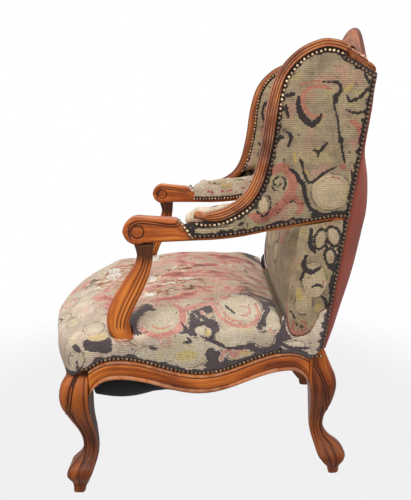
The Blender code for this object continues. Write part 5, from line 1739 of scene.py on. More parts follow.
@dataclass
class SoftForm:
    """Makes a stuffed form from a soft solid of the frame."""

    node: str
    voxel: float = 0.006
    draw_in: float = 0.004
    cap: float = 0.007
    pressure: float = 4.0
    steps: int = 20

    def mesh(self, name: str, rest: float) -> Mesh:
        """The stuffed form.

        Args:
            name: Name of the mesh.
            rest: Height under which the form is tacked down and keeps its place.

        Returns:
            The mesh.
        """
        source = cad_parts[self.node].data.copy()
        shell = bmesh.new()
        shell.from_mesh(source)
        bmesh.ops.remove_doubles(shell, verts=shell.verts, dist=0.00005)
        shell.to_mesh(source)
        shell.free()
        made = bpy.data.objects.new(name, source)
        bpy.context.scene.collection.objects.link(made)
        grid = made.modifiers.new("even grid", "REMESH")
        grid.mode = "VOXEL"
        grid.voxel_size = self.voxel
        drawn = made.modifiers.new("soft edges", "SMOOTH")
        drawn.factor = 0.5
        drawn.iterations = 3
        soft = self._baked(made, name)
        soft = self._swollen(soft, name, rest)
        bpy.data.objects.remove(made, do_unlink=True)
        return soft

    def _baked(self, made: bpy.types.Object, name: str) -> Mesh:
        """The object's mesh with its modifiers applied."""
        graph = bpy.context.evaluated_depsgraph_get()
        mesh = bpy.data.meshes.new_from_object(made.evaluated_get(graph))
        mesh.name = name
        mesh.materials.clear()
        return mesh

    def _swollen(self, mesh: Mesh, name: str, rest: float) -> Mesh:
        """The form after a short simulation of its stuffing's pressure."""
        goal = points_of(mesh)
        normals = np.empty(len(goal) * 3)
        mesh.vertices.foreach_get("normal", normals)
        held = 1 - ease((goal[:, 2] - rest) / 0.02)
        start = goal - normals.reshape(-1, 3) * (self.draw_in * (1 - held))[:, None]
        mesh.vertices.foreach_set("co", start.ravel())
        made = bpy.data.objects.new(f"{name}_stuffing", mesh)
        bpy.context.scene.collection.objects.link(made)
        pins = made.vertex_groups.new(name="tacked")
        for level in (0.25, 0.5, 0.75, 1.0):
            pins.add(np.flatnonzero(held >= level - 0.125).tolist(), level, "REPLACE")
        cloth = made.modifiers.new("stuffing", "CLOTH")
        cloth.settings.quality = 4
        cloth.settings.use_pressure = True
        cloth.settings.uniform_pressure_force = self.pressure
        cloth.settings.effector_weights.gravity = 0.0
        cloth.settings.vertex_group_mass = "tacked"
        cloth.point_cache.frame_start = 1
        cloth.point_cache.frame_end = self.steps
        for step in range(1, self.steps + 1):
            bpy.context.scene.frame_set(step)
        swollen = self._baked(made, name)
        bpy.data.objects.remove(made, do_unlink=True)
        moved = points_of(swollen) - start
        far = np.maximum(np.linalg.norm(moved, axis=1), 1e-9)
        swollen.vertices.foreach_set("co", (start + moved * np.minimum(1, self.cap / far)[:, None]).ravel())
        bpy.context.scene.frame_set(1)
        return swollen


@dataclass
class SidePanel:
    """A thin stuffed cover between four edges in the side plane."""

    form: ChairForm
    low: Array
    high: Array
    front: Array
    rear: Array
    columns: int = 110
    rows: int = 130
    stand: float = 0.0036
    crown: float = 0.0042

    def grid(self) -> tuple[Array, Array]:
        """Points of the panel on the left, and how far each lies from the panel's edge."""
        low, high = even(self.low, self.columns), even(self.high, self.columns)
        front, rear = even(self.front, self.rows), even(self.rear, self.rows)
        u = np.linspace(0, 1, self.columns)[None, :, None]
        v = np.linspace(0, 1, self.rows)[:, None, None]
        spots = (1 - v) * low[None] + v * high[None] + (1 - u) * front[:, None] + u * rear[:, None]
        spots -= (1 - u) * (1 - v) * low[0] + u * (1 - v) * low[-1] + (1 - u) * v * high[0] + u * v * high[-1]
        edge = np.concatenate([low, rear, high[::-1], front[::-1]])
        apart = far_from(edge, spots[..., 0], spots[..., 1])
        out = self.stand + self.crown * ease(apart / 0.030)
        y, z = spots[..., 0], spots[..., 1]
        out = out + 0.0009 * ripple(np.column_stack([y.ravel(), z.ravel(), 0 * y.ravel()]), 0.09, 5).reshape(y.shape)
        out = np.where(apart < 0.0008, 0.0008, out)
        return np.stack([self.form.side_x(y) + out, y, z], axis=2), apart


@dataclass
class Upholstery:
    """Covers and stuffing of the seat, back, arms and wings."""

    form: ChairForm
    wing_wool: Material
    seat_wool: Material
    pad_wool: Material
    rust: Material
    black: Material
    foot: float = 0.345
    nail_dark: float = 0.0128
    teeth: float = 0.0042
    bald_spots: Rows = (
        (-0.005, -0.262, 0.060, 0.050, 1.0), (-0.122, -0.155, 0.060, 0.030, 1.0), (0.166, -0.089, 0.016, 0.060, 1.0),
        (0.143, -0.042, 0.014, 0.050, 0.9), (0.121, -0.142, 0.050, 0.022, 1.0), (0.049, -0.294, 0.100, 0.050, 0.9),
        (0.011, -0.345, 0.120, 0.030, 0.7), (0.214, -0.130, 0.018, 0.070, 0.9), (0.049, -0.066, 0.040, 0.036, 0.8),
        (-0.080, -0.220, 0.110, 0.045, 0.8), (0.100, -0.230, 0.080, 0.030, 0.7), (0.000, 0.060, 0.050, 0.030, 0.5))
    ridges: Rows = ((0.226, -0.180, 0.200, 0.010), (0.176, -0.140, 0.150, 0.020), (0.110, -0.120, 0.060, 0.060),
                    (0.060, -0.320, -0.100, -0.250), (-0.040, -0.150, -0.080, 0.020))
    seat_points: Array = field(default_factory=lambda: np.zeros((0, 3)))

    def build(self) -> None:
        """Builds every cover."""
        self._seat()
        self._back()
        self._outside_back()
        self._dust_cover()
        for side in Side:
            self._wing_outside(side)
            self._seat_return(side)
            self._back_side(side)
            self._wing_inside(side)
            self._arm_pad(side)

    def seat_flat(self, points: Array) -> tuple[Array, Array, Array, Array]:
        """Unfolds the seat's cover.

        Args:
            points: Points on the seat.

        Returns:
            Rise over the side edge, rise over the front edge, the share of the front in the drawing, and how far
            in from the nearer edge each point lies.
        """
        form = self.form
        x, y, z = points.T
        in_side = form.side_x(y) + 0.006 - np.abs(x)
        in_front = y - form.front_y(np.clip(x, -form.leg_inner_x, form.leg_inner_x)) + 0.012
        rise_side = (z - self.foot) + 0.9 * in_side
        rise_front = (z - self.foot) + 0.9 * in_front
        share = ease((in_side - in_front) / 0.05 + 0.5)
        return rise_side, rise_front, share, np.minimum(in_side, in_front)

    def _seat(self) -> None:
        """The worn seat."""
        form = self.form
        mesh = SoftForm("seat_cushion", 0.006, 0.004, 0.006).mesh("tapestry_seat", 0.392)
        points = points_of(mesh)
        rise_side, rise_front, share, inward = self.seat_flat(points)
        on_top = ease((inward - 0.05) / 0.06)
        dip = 0.0016 * ripple(points, 0.11, 2) + 0.0012 * on_top * ripple(points, 0.045, 9)
        for x0, y0, x1, y1 in self.ridges:
            apart = far_from(smooth_path([(x0, y0), ((x0 + x1) / 2 + 0.012, (y0 + y1) / 2), (x1, y1)], 8),
                             points[:, 0], points[:, 1])
            dip += on_top * (0.0036 * bump(apart, 0.006) * (1 + 0.5 * ripple(points, 0.03, 31)))
        lifted = points.copy()
        lifted[:, 2] += dip * ease((points[:, 2] - 0.40) / 0.02)
        mesh.vertices.foreach_set("co", lifted.ravel())
        side = Designs.seat_side().worked(points[:, 1], rise_side)
        front = Designs.seat_front().worked(points[:, 0], rise_front)
        drawn = side * (1 - share)[:, None] + front * share[:, None]
        edge = np.where(points[:, 1] > form.leg_inner_y, form.side_edges(points[:, 1])[1], 0.306)
        nails = points[:, 2] - edge - 0.0044 - self.nail_dark - self.teeth * ripple(points, 0.030, 23)
        flat = np.column_stack([points[:, 1] * (1 - share) + points[:, 0] * share,
                                rise_side * (1 - share) + rise_front * share])
        x, y = points[:, 0], points[:, 1]
        patch = np.exp(-(((x - 0.02) / 0.30) ** 2 + ((y + 0.10) / 0.20) ** 2) ** 1.5)
        wear = on_top * (0.30 + 0.70 * patch) + 0.20 * on_top * ripple(points, 0.08, 4)
        bald = np.zeros(len(points))
        for spot_x, spot_y, wide, long, level in self.bald_spots:
            bald = np.maximum(bald, level * np.exp(-((x - spot_x) / wide) ** 2 - ((y - spot_y) / long) ** 2))
        dress_cloth(mesh, flat, drawn, nails, np.clip(wear, 0, 1.1), bald * on_top)
        self.seat_points = lifted
        Piece(mesh, self.seat_wool, Slot.TAPESTRY, ("seat_cushion",), 0.75, True).put()

    def _back(self) -> None:
        """The inside back."""
        mesh = SoftForm("back_cushion", 0.006, 0.004, 0.006).mesh("tapestry_back", 0.41)
        points = points_of(mesh)
        under = self.form.crest_at(points[:, 0])[2]
        points[:, 2] += 0.018 * ease((points[:, 2] - under + 0.10) / 0.09)
        mesh.vertices.foreach_set("co", points.ravel())
        dress_cloth(mesh, points[:, [0, 2]], Designs.back().worked(points[:, 0], points[:, 2]))
        Piece(mesh, self.wing_wool, Slot.TAPESTRY, ("back_cushion",), 0.7, True).put()

    def _outside_back(self) -> None:
        """The rust cloth over the stuffing behind the stiles."""
        form = self.form
        swell_rows = ((0.346, 0.16), (0.362, 0.45), (0.420, 0.66), (0.500, 0.86), (0.600, 1.00), (0.670, 0.98),
                      (0.740, 0.80), (0.800, 0.44), (0.860, 0.14), (0.920, 0.02), (0.986, 0.00))
        levels = np.linspace(swell_rows[0][0], swell_rows[-1][0], 130)
        u = np.linspace(-1, 1, 90)
        steep = np.sign(u) * np.abs(u) ** 0.85
        share = np.maximum(0.0, (levels - 0.72) / (swell_rows[-1][0] - 0.72))
        half = form.side_x(form.stile_rear(levels)) - 0.004
        x = half[:, None] * steep[None, :]
        height = levels[:, None] + share[:, None] * form.under_crest(x)
        swell = np.clip(smooth_at(swell_rows, levels), 0, 1)
        stand = 0.0040 - 0.0038 * ease((levels[:, None] - 0.90) / 0.06)
        y = form.stile_rear(height) + stand + 0.0705 * swell * (1 - np.abs(steep[None, :]) ** 4)
        grid = np.stack([x, y, height], axis=2)
        lumps = ripple(grid.reshape(-1, 3), 0.14, 12).reshape(x.shape)
        fold = bump(far_from(np.array([(0.20, 0.60), (0.27, 0.56)]), np.abs(x), height), 0.006)
        grid[..., 1] += (0.0016 * lumps - 0.004 * fold) * (1 - np.abs(steep[None, :]) ** 6) * np.minimum(1, swell * 4)
        rim = grid.copy()
        rim[..., 1] = form.stile_rear(height) + 0.0005
        rim[-1, :, 1] -= 0.016
        grid = np.concatenate([grid[:, :1] * [1, 0, 1] + rim[:, :1] * [0, 1, 0], grid,
                               grid[:, -1:] * [1, 0, 1] + rim[:, -1:] * [0, 1, 0]], axis=1)
        rim = np.concatenate([rim[:, :1], rim, rim[:, -1:]], axis=1)
        grid = np.concatenate([rim[:1], grid, rim[-1:]], axis=0)
        mesh = grid_mesh("rust_outside_back", grid, False, False)
        Piece(mesh, self.rust, Slot.RUST, ("outside_back",), 0.5, True).put()

    def _dust_cover(self) -> None:
        """The black cloth under the seat, sagging at the front."""
        form = self.form
        top = form.rail_core - form.gap - 0.0016 - 0.0011 - 0.0016
        hold = 0.018
        rear, corner = form.shoulder_y - 0.012, form.leg_inner_y + 0.003
        rows = []
        for v in np.concatenate([np.linspace(-0.14, 0.0, 9), np.linspace(0.004, 1.0, 56)]):
            y_side = corner + (rear - corner) * max(v, 0.0)
            half = form.leg_inner_x - 0.003 if v <= 0 else float(form.side_x(y_side)) - hold
            droop = float(ease((v + 0.14) / 0.13) * (1 - ease((v - 0.36) / 0.40)))
            u = np.linspace(-1, 1, 61)
            x = half * np.sign(u) * np.abs(u) ** 0.5
            y = y_side + (form.front_y(x) + hold - corner) * min(v, 0.0) / -0.14
            lobes = 0.84 + 0.16 * np.abs(np.sin(math.pi * (y + 0.27) / 0.148)) - 0.10 * ease((y + 0.122) / 0.03)
            rows.append(np.column_stack([x, y, top - 0.088 * droop * (1 - np.abs(x / half) ** 16) * lobes]))
        mesh = grid_mesh("black_dust_cover", np.array(rows), False, False)
        made = Piece(mesh, self.black, Slot.BLACK, ("dust_cover",)).put()

    def _cover(self, node: str, side: Side, grid: Array, design: Drawing, nails: Array, wool: Material,
               fill: float, foot: float = 0.0) -> None:
        """Builds a thin cover and draws its design.

        Args:
            node: The solid that it stands for, without its side.
            side: The side it is on.
            grid: Points of the cover on the left.
            design: What is worked on it.
            nails: Distances from its nailed edges.
            wool: Its finish.
            fill: How full it is stuffed.
            foot: Height at which the design starts.
        """
        node = f"{node}_{side.tag}"
        mesh = grid_mesh(f"tapestry_{node}", grid, False, False, side.value)
        y, z = grid[..., 1].ravel(), grid[..., 2].ravel()
        border = self.nail_dark + self.teeth * ripple(np.column_stack([y, z, z]), 0.019, 21)
        dress_cloth(mesh, np.column_stack([y, z]), design.worked(y, z - foot), nails.ravel() - border)
        Piece(mesh, wool, Slot.TAPESTRY, (node,), fill).put()

    def _wing_outside(self, side: Side) -> None:
        """The outside of a wing and arm."""
        form = self.form
        end = float(form.stile_front(0.68))
        ys = np.linspace(-0.030, end, 30)
        low = np.column_stack([ys, form.arm_low(ys) + 0.006])
        low = np.concatenate([low, [(float(form.stile_rear(0.666)) - 0.002, 0.666)]])
        front_y, _, crest_low, _, lift = (float(v) for v in form.crest_at(form.crest_reach))
        edge = form.wing_edge(-0.0022, 300)
        edge = edge[(edge[:, 0] > 0.0) & (edge[:, 0] < front_y - 0.006)]
        start = (form.arm_cover_start + 0.004, float(edge[0][1]) - 0.004)
        front = np.concatenate([[low[0]], [start], edge])
        rear = np.array([low[-1], (float(form.stile_rear(crest_low)) - 0.002, crest_low - 0.003)])
        high = np.array([front[-1], (front_y - 0.003, crest_low + lift - 0.003), rear[-1]])
        grid, apart = SidePanel(form, low, high, front, rear, 120, 150).grid()
        self._cover("wing_outside", side, grid, Designs.wing(), apart, self.wing_wool, 0.5)

    def _back_side(self, side: Side) -> None:
        """The side of the back under the arm, down to its rounded foot over the seat."""
        form = self.form
        foot = form.rail_top + 0.064
        low = np.concatenate([form.tongue_line(30), [(float(form.stile_rear(foot)) - 0.002, foot)]])
        rear = np.array([low[-1], (float(form.stile_rear(0.658)) - 0.002, 0.658)])
        ys = np.linspace(0.214, float(form.stile_front(0.68)), 10)
        high = np.concatenate([np.column_stack([ys, form.arm_low(ys) - 0.001]), [rear[-1]]])
        front = smooth_path([tuple(low[0]), (form.seat_rear + 0.008, 0.500), tuple(high[0])], 40)
        grid, _ = SidePanel(form, low, high, front, rear, 60, 120).grid()
        apart = far_from(rear, grid[..., 1], grid[..., 2])
        self._cover("back_side", side, grid, Designs.back_side(), apart, self.wing_wool, 0.5)

    def _seat_return(self, side: Side) -> None:
        """The end of the seat's cover, carried back to the post under the foot of the back's side."""
        form = self.form
        start = form.seat_rear - 0.0060
        ys = np.linspace(start, form.shoulder_y, 12)
        low = np.column_stack([ys, form.side_edges(ys)[1] + form.gap])
        foot, top = form.stile_foot + 0.007, form.rail_top + 0.060
        low = np.concatenate([low, [(float(form.stile_rear(foot)) - 0.002, foot)]])
        rear = np.array([low[-1], (float(form.stile_rear(top)) - 0.002, top)])
        line = form.tongue_line(30) - np.array([0.0006, 0.0022])
        line = line[line[:, 0] > start + 0.003]
        front = np.array([low[0], (start, form.rail_top + 0.034)])
        high = np.concatenate([front[-1:], line, rear[-1:]])
        grid, _ = SidePanel(form, low, high, front, rear, 70, 50, crown=0.0024).grid()
        y, z = grid[..., 1], grid[..., 2]
        nails = np.minimum(z - form.side_edges(y)[1] - 0.0024, form.stile_rear(z) - y - 0.004)
        self._cover("seat_return", side, grid, Designs.seat_side(), nails, self.seat_wool, 0.4, self.foot)

    def _wing_inside(self, side: Side) -> None:
        """The stuffed inside of a wing."""
        form = self.form
        node = f"wing_inside_{side.tag}"
        mesh = SoftForm(node, 0.005, 0.002, 0.004).mesh(f"tapestry_{node}", 0.0)
        points = points_of(mesh)
        path, across = form.wing_path(120)
        apart = np.hypot(points[:, 1, None] - path[None, :, 0], points[:, 2, None] - path[None, :, 1])
        inward = form.side_x(points[:, 1]) - np.abs(points[:, 0])
        pull = 0.010 * (1 - ease((apart.min(axis=1) - 0.012) / 0.030)) * ease((inward - form.wing_in) / 0.004)
        points[:, 1:] += across[apart.argmin(axis=1)] * pull[:, None]
        mesh.vertices.foreach_set("co", points.ravel())
        drawn = Designs.wing_inside().worked(points[:, 1], points[:, 2])
        nails = far_from(form.wing_edge(-0.010, 120), points[:, 1], points[:, 2]) - 0.011
        dress_cloth(mesh, points[:, 1:], drawn, nails)
        Piece(mesh, self.wing_wool, Slot.TAPESTRY, (node,), 0.6, True).put()

    def _arm_pad(self, side: Side) -> None:
        """The stuffed pad on an arm."""
        form = self.form
        node = f"arm_pad_{side.tag}"
        mesh = SoftForm(node, 0.004, 0.002, 0.004).mesh(f"tapestry_{node}", 0.0)
        points = points_of(mesh)
        inward = form.side_x(points[:, 1]) - np.abs(points[:, 0])
        arc = inward + np.maximum(0, form.arm_high(points[:, 1]) + 0.042 - points[:, 2])
        drawn = Designs.arm_pad().worked(points[:, 1], arc)
        nails = points[:, 2] - form.arm_low(points[:, 1]) - 0.008 - self.nail_dark
        dress_cloth(mesh, np.column_stack([points[:, 1], arc]), drawn, nails)
        Piece(mesh, self.pad_wool, Slot.TAPESTRY, (node,), 0.7, True).put()


class Bundle:
    """Small ringed forms gathered into one mesh that keeps a tint for each."""

    def __init__(self) -> None:
        """Starts empty."""
        self.points: list[list[float]] = []
        self.faces: list[list[int]] = []
        self.tints: list[float] = []

    def add(self, rings: Array, tint: float, turned: bool = False) -> None:
        """Adds a form that is closed at both ends.

        Args:
            rings: Its rings as (rings, points, 3).
            tint: The tint that its points keep.
            turned: Whether its rings run the other way round.
        """
        rows, columns, _ = rings.shape
        base = len(self.points)
        faces = ring_quads(rows, columns, True, base).tolist()
        faces.append((base + np.arange(columns)[::-1]).tolist())
        faces.append((base + (rows - 1) * columns + np.arange(columns)).tolist())
        self.faces += [face[::-1] for face in faces] if turned else faces
        self.points += rings.reshape(-1, 3).tolist()
        self.tints += [tint] * (rows * columns)

    def mesh(self, name: str) -> Mesh:
        """All forms as one mesh."""
        made = bpy.data.meshes.new(name)
        made.from_pydata(self.points, [], self.faces)
        keep(made, "tint", "FLOAT", np.array(self.tints))
        return made


@dataclass
class Tatters:
    """Stuffing that has burst out of the seat, and loose threads."""

    form: ChairForm
    seat_points: Array
    wadding: Material
    thread: Material
    tufts: Rows = (
        (-0.005, -0.262, 0.034, 0.026, 0.0), (-0.122, -0.155, 0.040, 0.016, 0.0), (0.166, -0.089, 0.007, 0.040, 0.0),
        (0.143, -0.042, 0.006, 0.030, 0.1), (0.121, -0.142, 0.030, 0.012, 0.0), (0.030, -0.250, 0.026, 0.016, 0.1),
        (-0.050, -0.270, 0.030, 0.018, 0.2), (0.049, -0.066, 0.012, 0.016, 0.5), (-0.090, -0.148, 0.022, 0.012, 0.4),
        (0.205, -0.150, 0.010, 0.016, 0.6), (0.208, -0.080, 0.006, 0.020, 0.5))
    tears: Rows = (
        (0.222, -0.164, 0.196, -0.010, 26), (0.170, -0.130, 0.150, -0.010, 20), (0.060, -0.330, -0.100, -0.270, 16),
        (0.080, -0.110, 0.020, -0.020, 14), (0.120, -0.190, 0.060, -0.160, 12))
    thread_radius: float = 0.0006

    def build(self) -> None:
        """Builds the tufts and the threads."""
        self._tufts()
        self._threads()

    def height(self, x: float, y: float) -> float:
        """The seat's height at a place on its top."""
        top = self.seat_points[self.seat_points[:, 2] > 0.40]
        near = np.argsort(np.hypot(top[:, 0] - x, top[:, 1] - y))[:6]
        return float(top[near, 2].mean())

    def _tufts(self) -> None:
        """Lumps of wadding on the seat's top, and a torn scrap at the foot of each arm post."""
        spots = [(x, y, self.height(x, y), wide, long, tint) for x, y, wide, long, tint in self.tufts]
        spots += [(way * 0.3585, -0.192, 0.3955, 0.0075, 0.022, 1.0) for way in (1, -1)]
        wads = Bundle()
        turn = np.linspace(0, 2 * math.pi, 26, endpoint=False)
        circle = np.column_stack([np.cos(turn), np.sin(turn), 0 * turn])
        for number, (x, y, z, wide, long, tint) in enumerate(spots):
            tall = 1.6 * (0.0035 + 0.10 * min(wide, long, 0.03))
            rings = []
            for rise in np.linspace(0.0, 1.0, 14):
                lump = 1 + 0.24 * ripple(circle * 0.5 + [number * 3.1, rise * 0.4, 0], 0.45, 40 + number)
                spread = lump * (math.cos(rise * math.pi / 2) ** 0.6 + 0.02)
                rings.append(np.column_stack([x + wide * spread * circle[:, 0], y + long * spread * circle[:, 1],
                                              z - 0.004 + tall * rise * lump]))
            wads.add(np.array(rings), tint)
        Piece(wads.mesh("burst_wadding"), self.wadding, fill=0.3).put()

    def _threads(self) -> None:
        """Frayed threads along the tears and at the foot of each arm post."""
        dice = np.random.default_rng(77)
        threads = Bundle()
        for x0, y0, x1, y1, count in self.tears:
            for _ in range(int(count)):
                t = dice.uniform()
                x, y = x0 + (x1 - x0) * t, y0 + (y1 - y0) * t
                way = dice.uniform(0, 2 * math.pi)
                long = dice.uniform(0.010, 0.032)
                flat = []
                for step in np.linspace(0, 1, 4):
                    way += dice.normal() * 0.5
                    flat.append((x + long * step * math.cos(way), y + long * step * math.sin(way)))
                lift = dice.uniform(0.0006, 0.003)
                path = [(u, v, self.height(u, v) + lift * math.sin(math.pi * (k + 0.3) / 4))
                        for k, (u, v) in enumerate(flat)]
                threads.add(self._tube(path), dice.choice([0.0, 0.0, 0.35, 0.65, 1.0]), True)
        for way in (1, -1):
            for k, tint in enumerate((0.35, 0.65, 0.35, 0.0, 0.65, 0.35)):
                y = -0.206 + 0.008 * k
                out = float(self.form.side_x(y)) + 0.0062
                path = [(way * (out - 0.010), y, 0.3965), (way * (out - 0.001), y + 0.004, 0.396),
                        (way * (out + 0.0016), y + 0.010, 0.388),
                        (way * (out + 0.0014), y + 0.017 + 0.003 * k, 0.380)]
                threads.add(self._tube(path), tint, True)
        Piece(threads.mesh("loose_threads"), self.thread, Slot.TAPESTRY).put()

    def _tube(self, points: list[tuple[float, float, float]]) -> Array:
        """Rings of a thin thread along a smooth path through points."""
        path = smooth_path(points, 9)
        turn = np.linspace(0, 2 * math.pi, 6, endpoint=False)
        run = np.gradient(path, axis=0)
        run /= np.maximum(np.linalg.norm(run, axis=1), 1e-9)[:, None]
        one = np.cross(run, [0.13, 0.21, 0.97])
        one /= np.linalg.norm(one, axis=1)[:, None]
        two = np.cross(run, one)
        return path[:, None] + self.thread_radius * (np.cos(turn)[None, :, None] * one[:, None]
                                                     + np.sin(turn)[None, :, None] * two[:, None])


@dataclass
class Nails:
    """Lines of close domed nails along the covers' edges."""

    form: ChairForm
    brass: Material
    pitch: float = 0.0098
    radius: float = 0.0043
    height: float = 0.0030
    steps: int = 12
    # How bright each line's nail tops are: partly rubbed wear, partly a painted highlight that is strongest on the
    # upper wing.
    bright: dict[str, float] = field(default_factory=lambda: {
        "wing": 1.0, "rear_edge": 0.50, "arm": 0.55, "crest": 0.55, "side_rail": 0.66, "hand": 0.95,
        "wing_inside": 0.85, "arm_inside": 0.85})
    dome: Rows = ((1.0, -0.25), (1.0, 0.10), (0.90, 0.50), (0.66, 0.80), (0.34, 0.96))

    def build(self) -> None:
        """Builds every line of nails."""
        form = self.form
        for side in Side:
            face = np.array([side.value, form.taper, 0.0])
            for name, line, out in self._side_lines() + self._inner_lines():
                spots = np.column_stack([form.side_x(line[:, 0]) + out, line]) * (side.value, 1, 1)
                self._line(f"nails_{name}_{side.tag}", spots, face if out > 0 else -face, self.bright[name])
        xs = np.linspace(-form.leg_inner_x, form.leg_inner_x, 120)
        spots = np.column_stack([xs, form.front_y(xs) - 0.0005, form.front_edges(xs)[1] + 0.0078])
        self._line("nails_front_rail", spots, np.array([0.0, -1.0, 0.0]), self.bright["side_rail"])

    def _side_lines(self) -> list[tuple[str, Array, float]]:
        """Lines on the outside, as (name, (depth, height) points, distance out of the side plane)."""
        form = self.form
        front_y, _, crest_low, _, lift = (float(v) for v in form.crest_at(form.crest_reach))
        wing = form.wing_edge(0.0056, 300)
        wing = wing[(wing[:, 0] > -0.020) & (wing[:, 0] < front_y - 0.008)]
        rear_z = np.linspace(0.356, crest_low - 0.008, 60)
        rear = np.column_stack([form.stile_rear(rear_z) - 0.0068, rear_z])
        arm_y = np.linspace(-0.032, float(form.stile_front(0.68)) + 0.036, 60)
        arm = np.column_stack([arm_y, form.arm_low(np.minimum(arm_y, 0.289)) + 0.0120])
        crest = np.array([(front_y - 0.006, crest_low + lift - 0.009),
                          (float(form.stile_rear(crest_low)) - 0.012, crest_low - 0.008)])
        rail_y = np.linspace(form.leg_inner_y - 0.022, form.shoulder_y + 0.026, 120)
        rail = np.column_stack([rail_y, form.side_edges(rail_y)[1] + 0.0078])
        hand = np.array([(-0.058, 0.664), (-0.046, 0.650), (-0.036, 0.634), (-0.030, 0.626)])
        return [("wing", wing, 0.0050), ("rear_edge", rear, 0.0052), ("arm", arm, 0.0052), ("crest", crest, 0.0052),
                ("side_rail", rail, 0.0004), ("hand", hand, 0.0030)]

    def _inner_lines(self) -> list[tuple[str, Array, float]]:
        """Lines on the inside of the wings and arms, in the same form."""
        form = self.form
        wing = form.wing_edge(-0.0036, 300)
        wing = wing[(wing[:, 1] > 0.720) & (wing[:, 0] < 0.290)]
        arm_y = np.linspace(form.arm_cover_start + 0.008, form.shoulder_y - 0.020, 60)
        arm = np.column_stack([arm_y, form.arm_low(arm_y) + 0.0135])
        return [("wing_inside", wing, -0.0415), ("arm_inside", arm, -form.arm_width - 0.0090)]

    def _line(self, name: str, spots: Array, face: Array, bright: float) -> None:
        """One line of nails.

        Args:
            name: Name of the piece.
            spots: Points along the line.
            face: Direction that the heads face.
            bright: How bright the tops are, 0 to 1: partly rubbed wear, partly a painted highlight.
        """
        count = max(int(round(along(spots)[-1] / self.pitch)) + 1, 2)
        centres = even(spots, count)
        face = face / np.linalg.norm(face)
        one = np.cross(face, [0.0, 0.0, 1.0])
        one /= np.linalg.norm(one)
        two = np.cross(face, one)
        turn = np.linspace(0, 2 * math.pi, self.steps, endpoint=False)
        dice = np.random.default_rng(len(name) * 31 + count)
        points, faces, rubbed = [], [], []
        for centre in centres:
            base = len(points)
            centre = centre + (one * dice.normal() + two * dice.normal()) * 0.0003
            rub_and_glint = bright * dice.uniform(0.75, 1.1)
            # Painted highlight: wing nails are brighter toward the top of the wing and at its foot.
            if bright == 1.0:
                rub_and_glint *= 0.42 + 0.58 * float(ease((centre[2] - 0.86) / 0.07) + ease((0.705 - centre[2]) / 0.02))
            for share, rise in self.dome:
                ring = (np.outer(np.cos(turn), one) + np.outer(np.sin(turn), two)) * self.radius * share
                points += (centre + ring + face * self.height * rise).tolist()
                # Dark rims and bright tops: tarnish and wear, with painted shade on the rims and a painted highlight
                # on the tops.
                rubbed += [rub_and_glint * max(rise - 0.45, 0.0) * 1.7] * self.steps
            points.append((centre + face * self.height).tolist())
            rubbed.append(rub_and_glint)
            faces += ring_quads(len(self.dome), self.steps, True, base)[:, ::-1].tolist()
            top = len(points) - 1
            last = top - self.steps
            faces += [(last + (i + 1) % self.steps, last + i, top) for i in range(self.steps)]
        mesh = bpy.data.meshes.new(name)
        mesh.from_pydata(points, [], faces)
        shell = bmesh.new()
        shell.from_mesh(mesh)
        bmesh.ops.recalc_face_normals(shell, faces=shell.faces)
        shell.to_mesh(mesh)
        shell.free()
        keep(mesh, "rubbed", "FLOAT", np.array(rubbed))
        Piece(mesh, self.brass).put()


@dataclass
class HiddenFrame:
    """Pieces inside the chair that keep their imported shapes."""

    plain: Material
    jute: Material
    canvas: Material
    steel: Material

    def dress(self) -> None:
        """Gives each piece its finish."""
        words = (("strap", self.jute), ("canvas", self.canvas), ("spring", self.steel),
                 ("back_rail", self.plain), ("corner_block", self.plain))
        for name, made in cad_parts.items():
            for word, finish in words:
                if word in name and not made.hide_render:
                    made.data.materials.clear()
                    made.data.materials.append(finish)
                    log.info("%s: dressed with %s", name, finish.name)
                    break


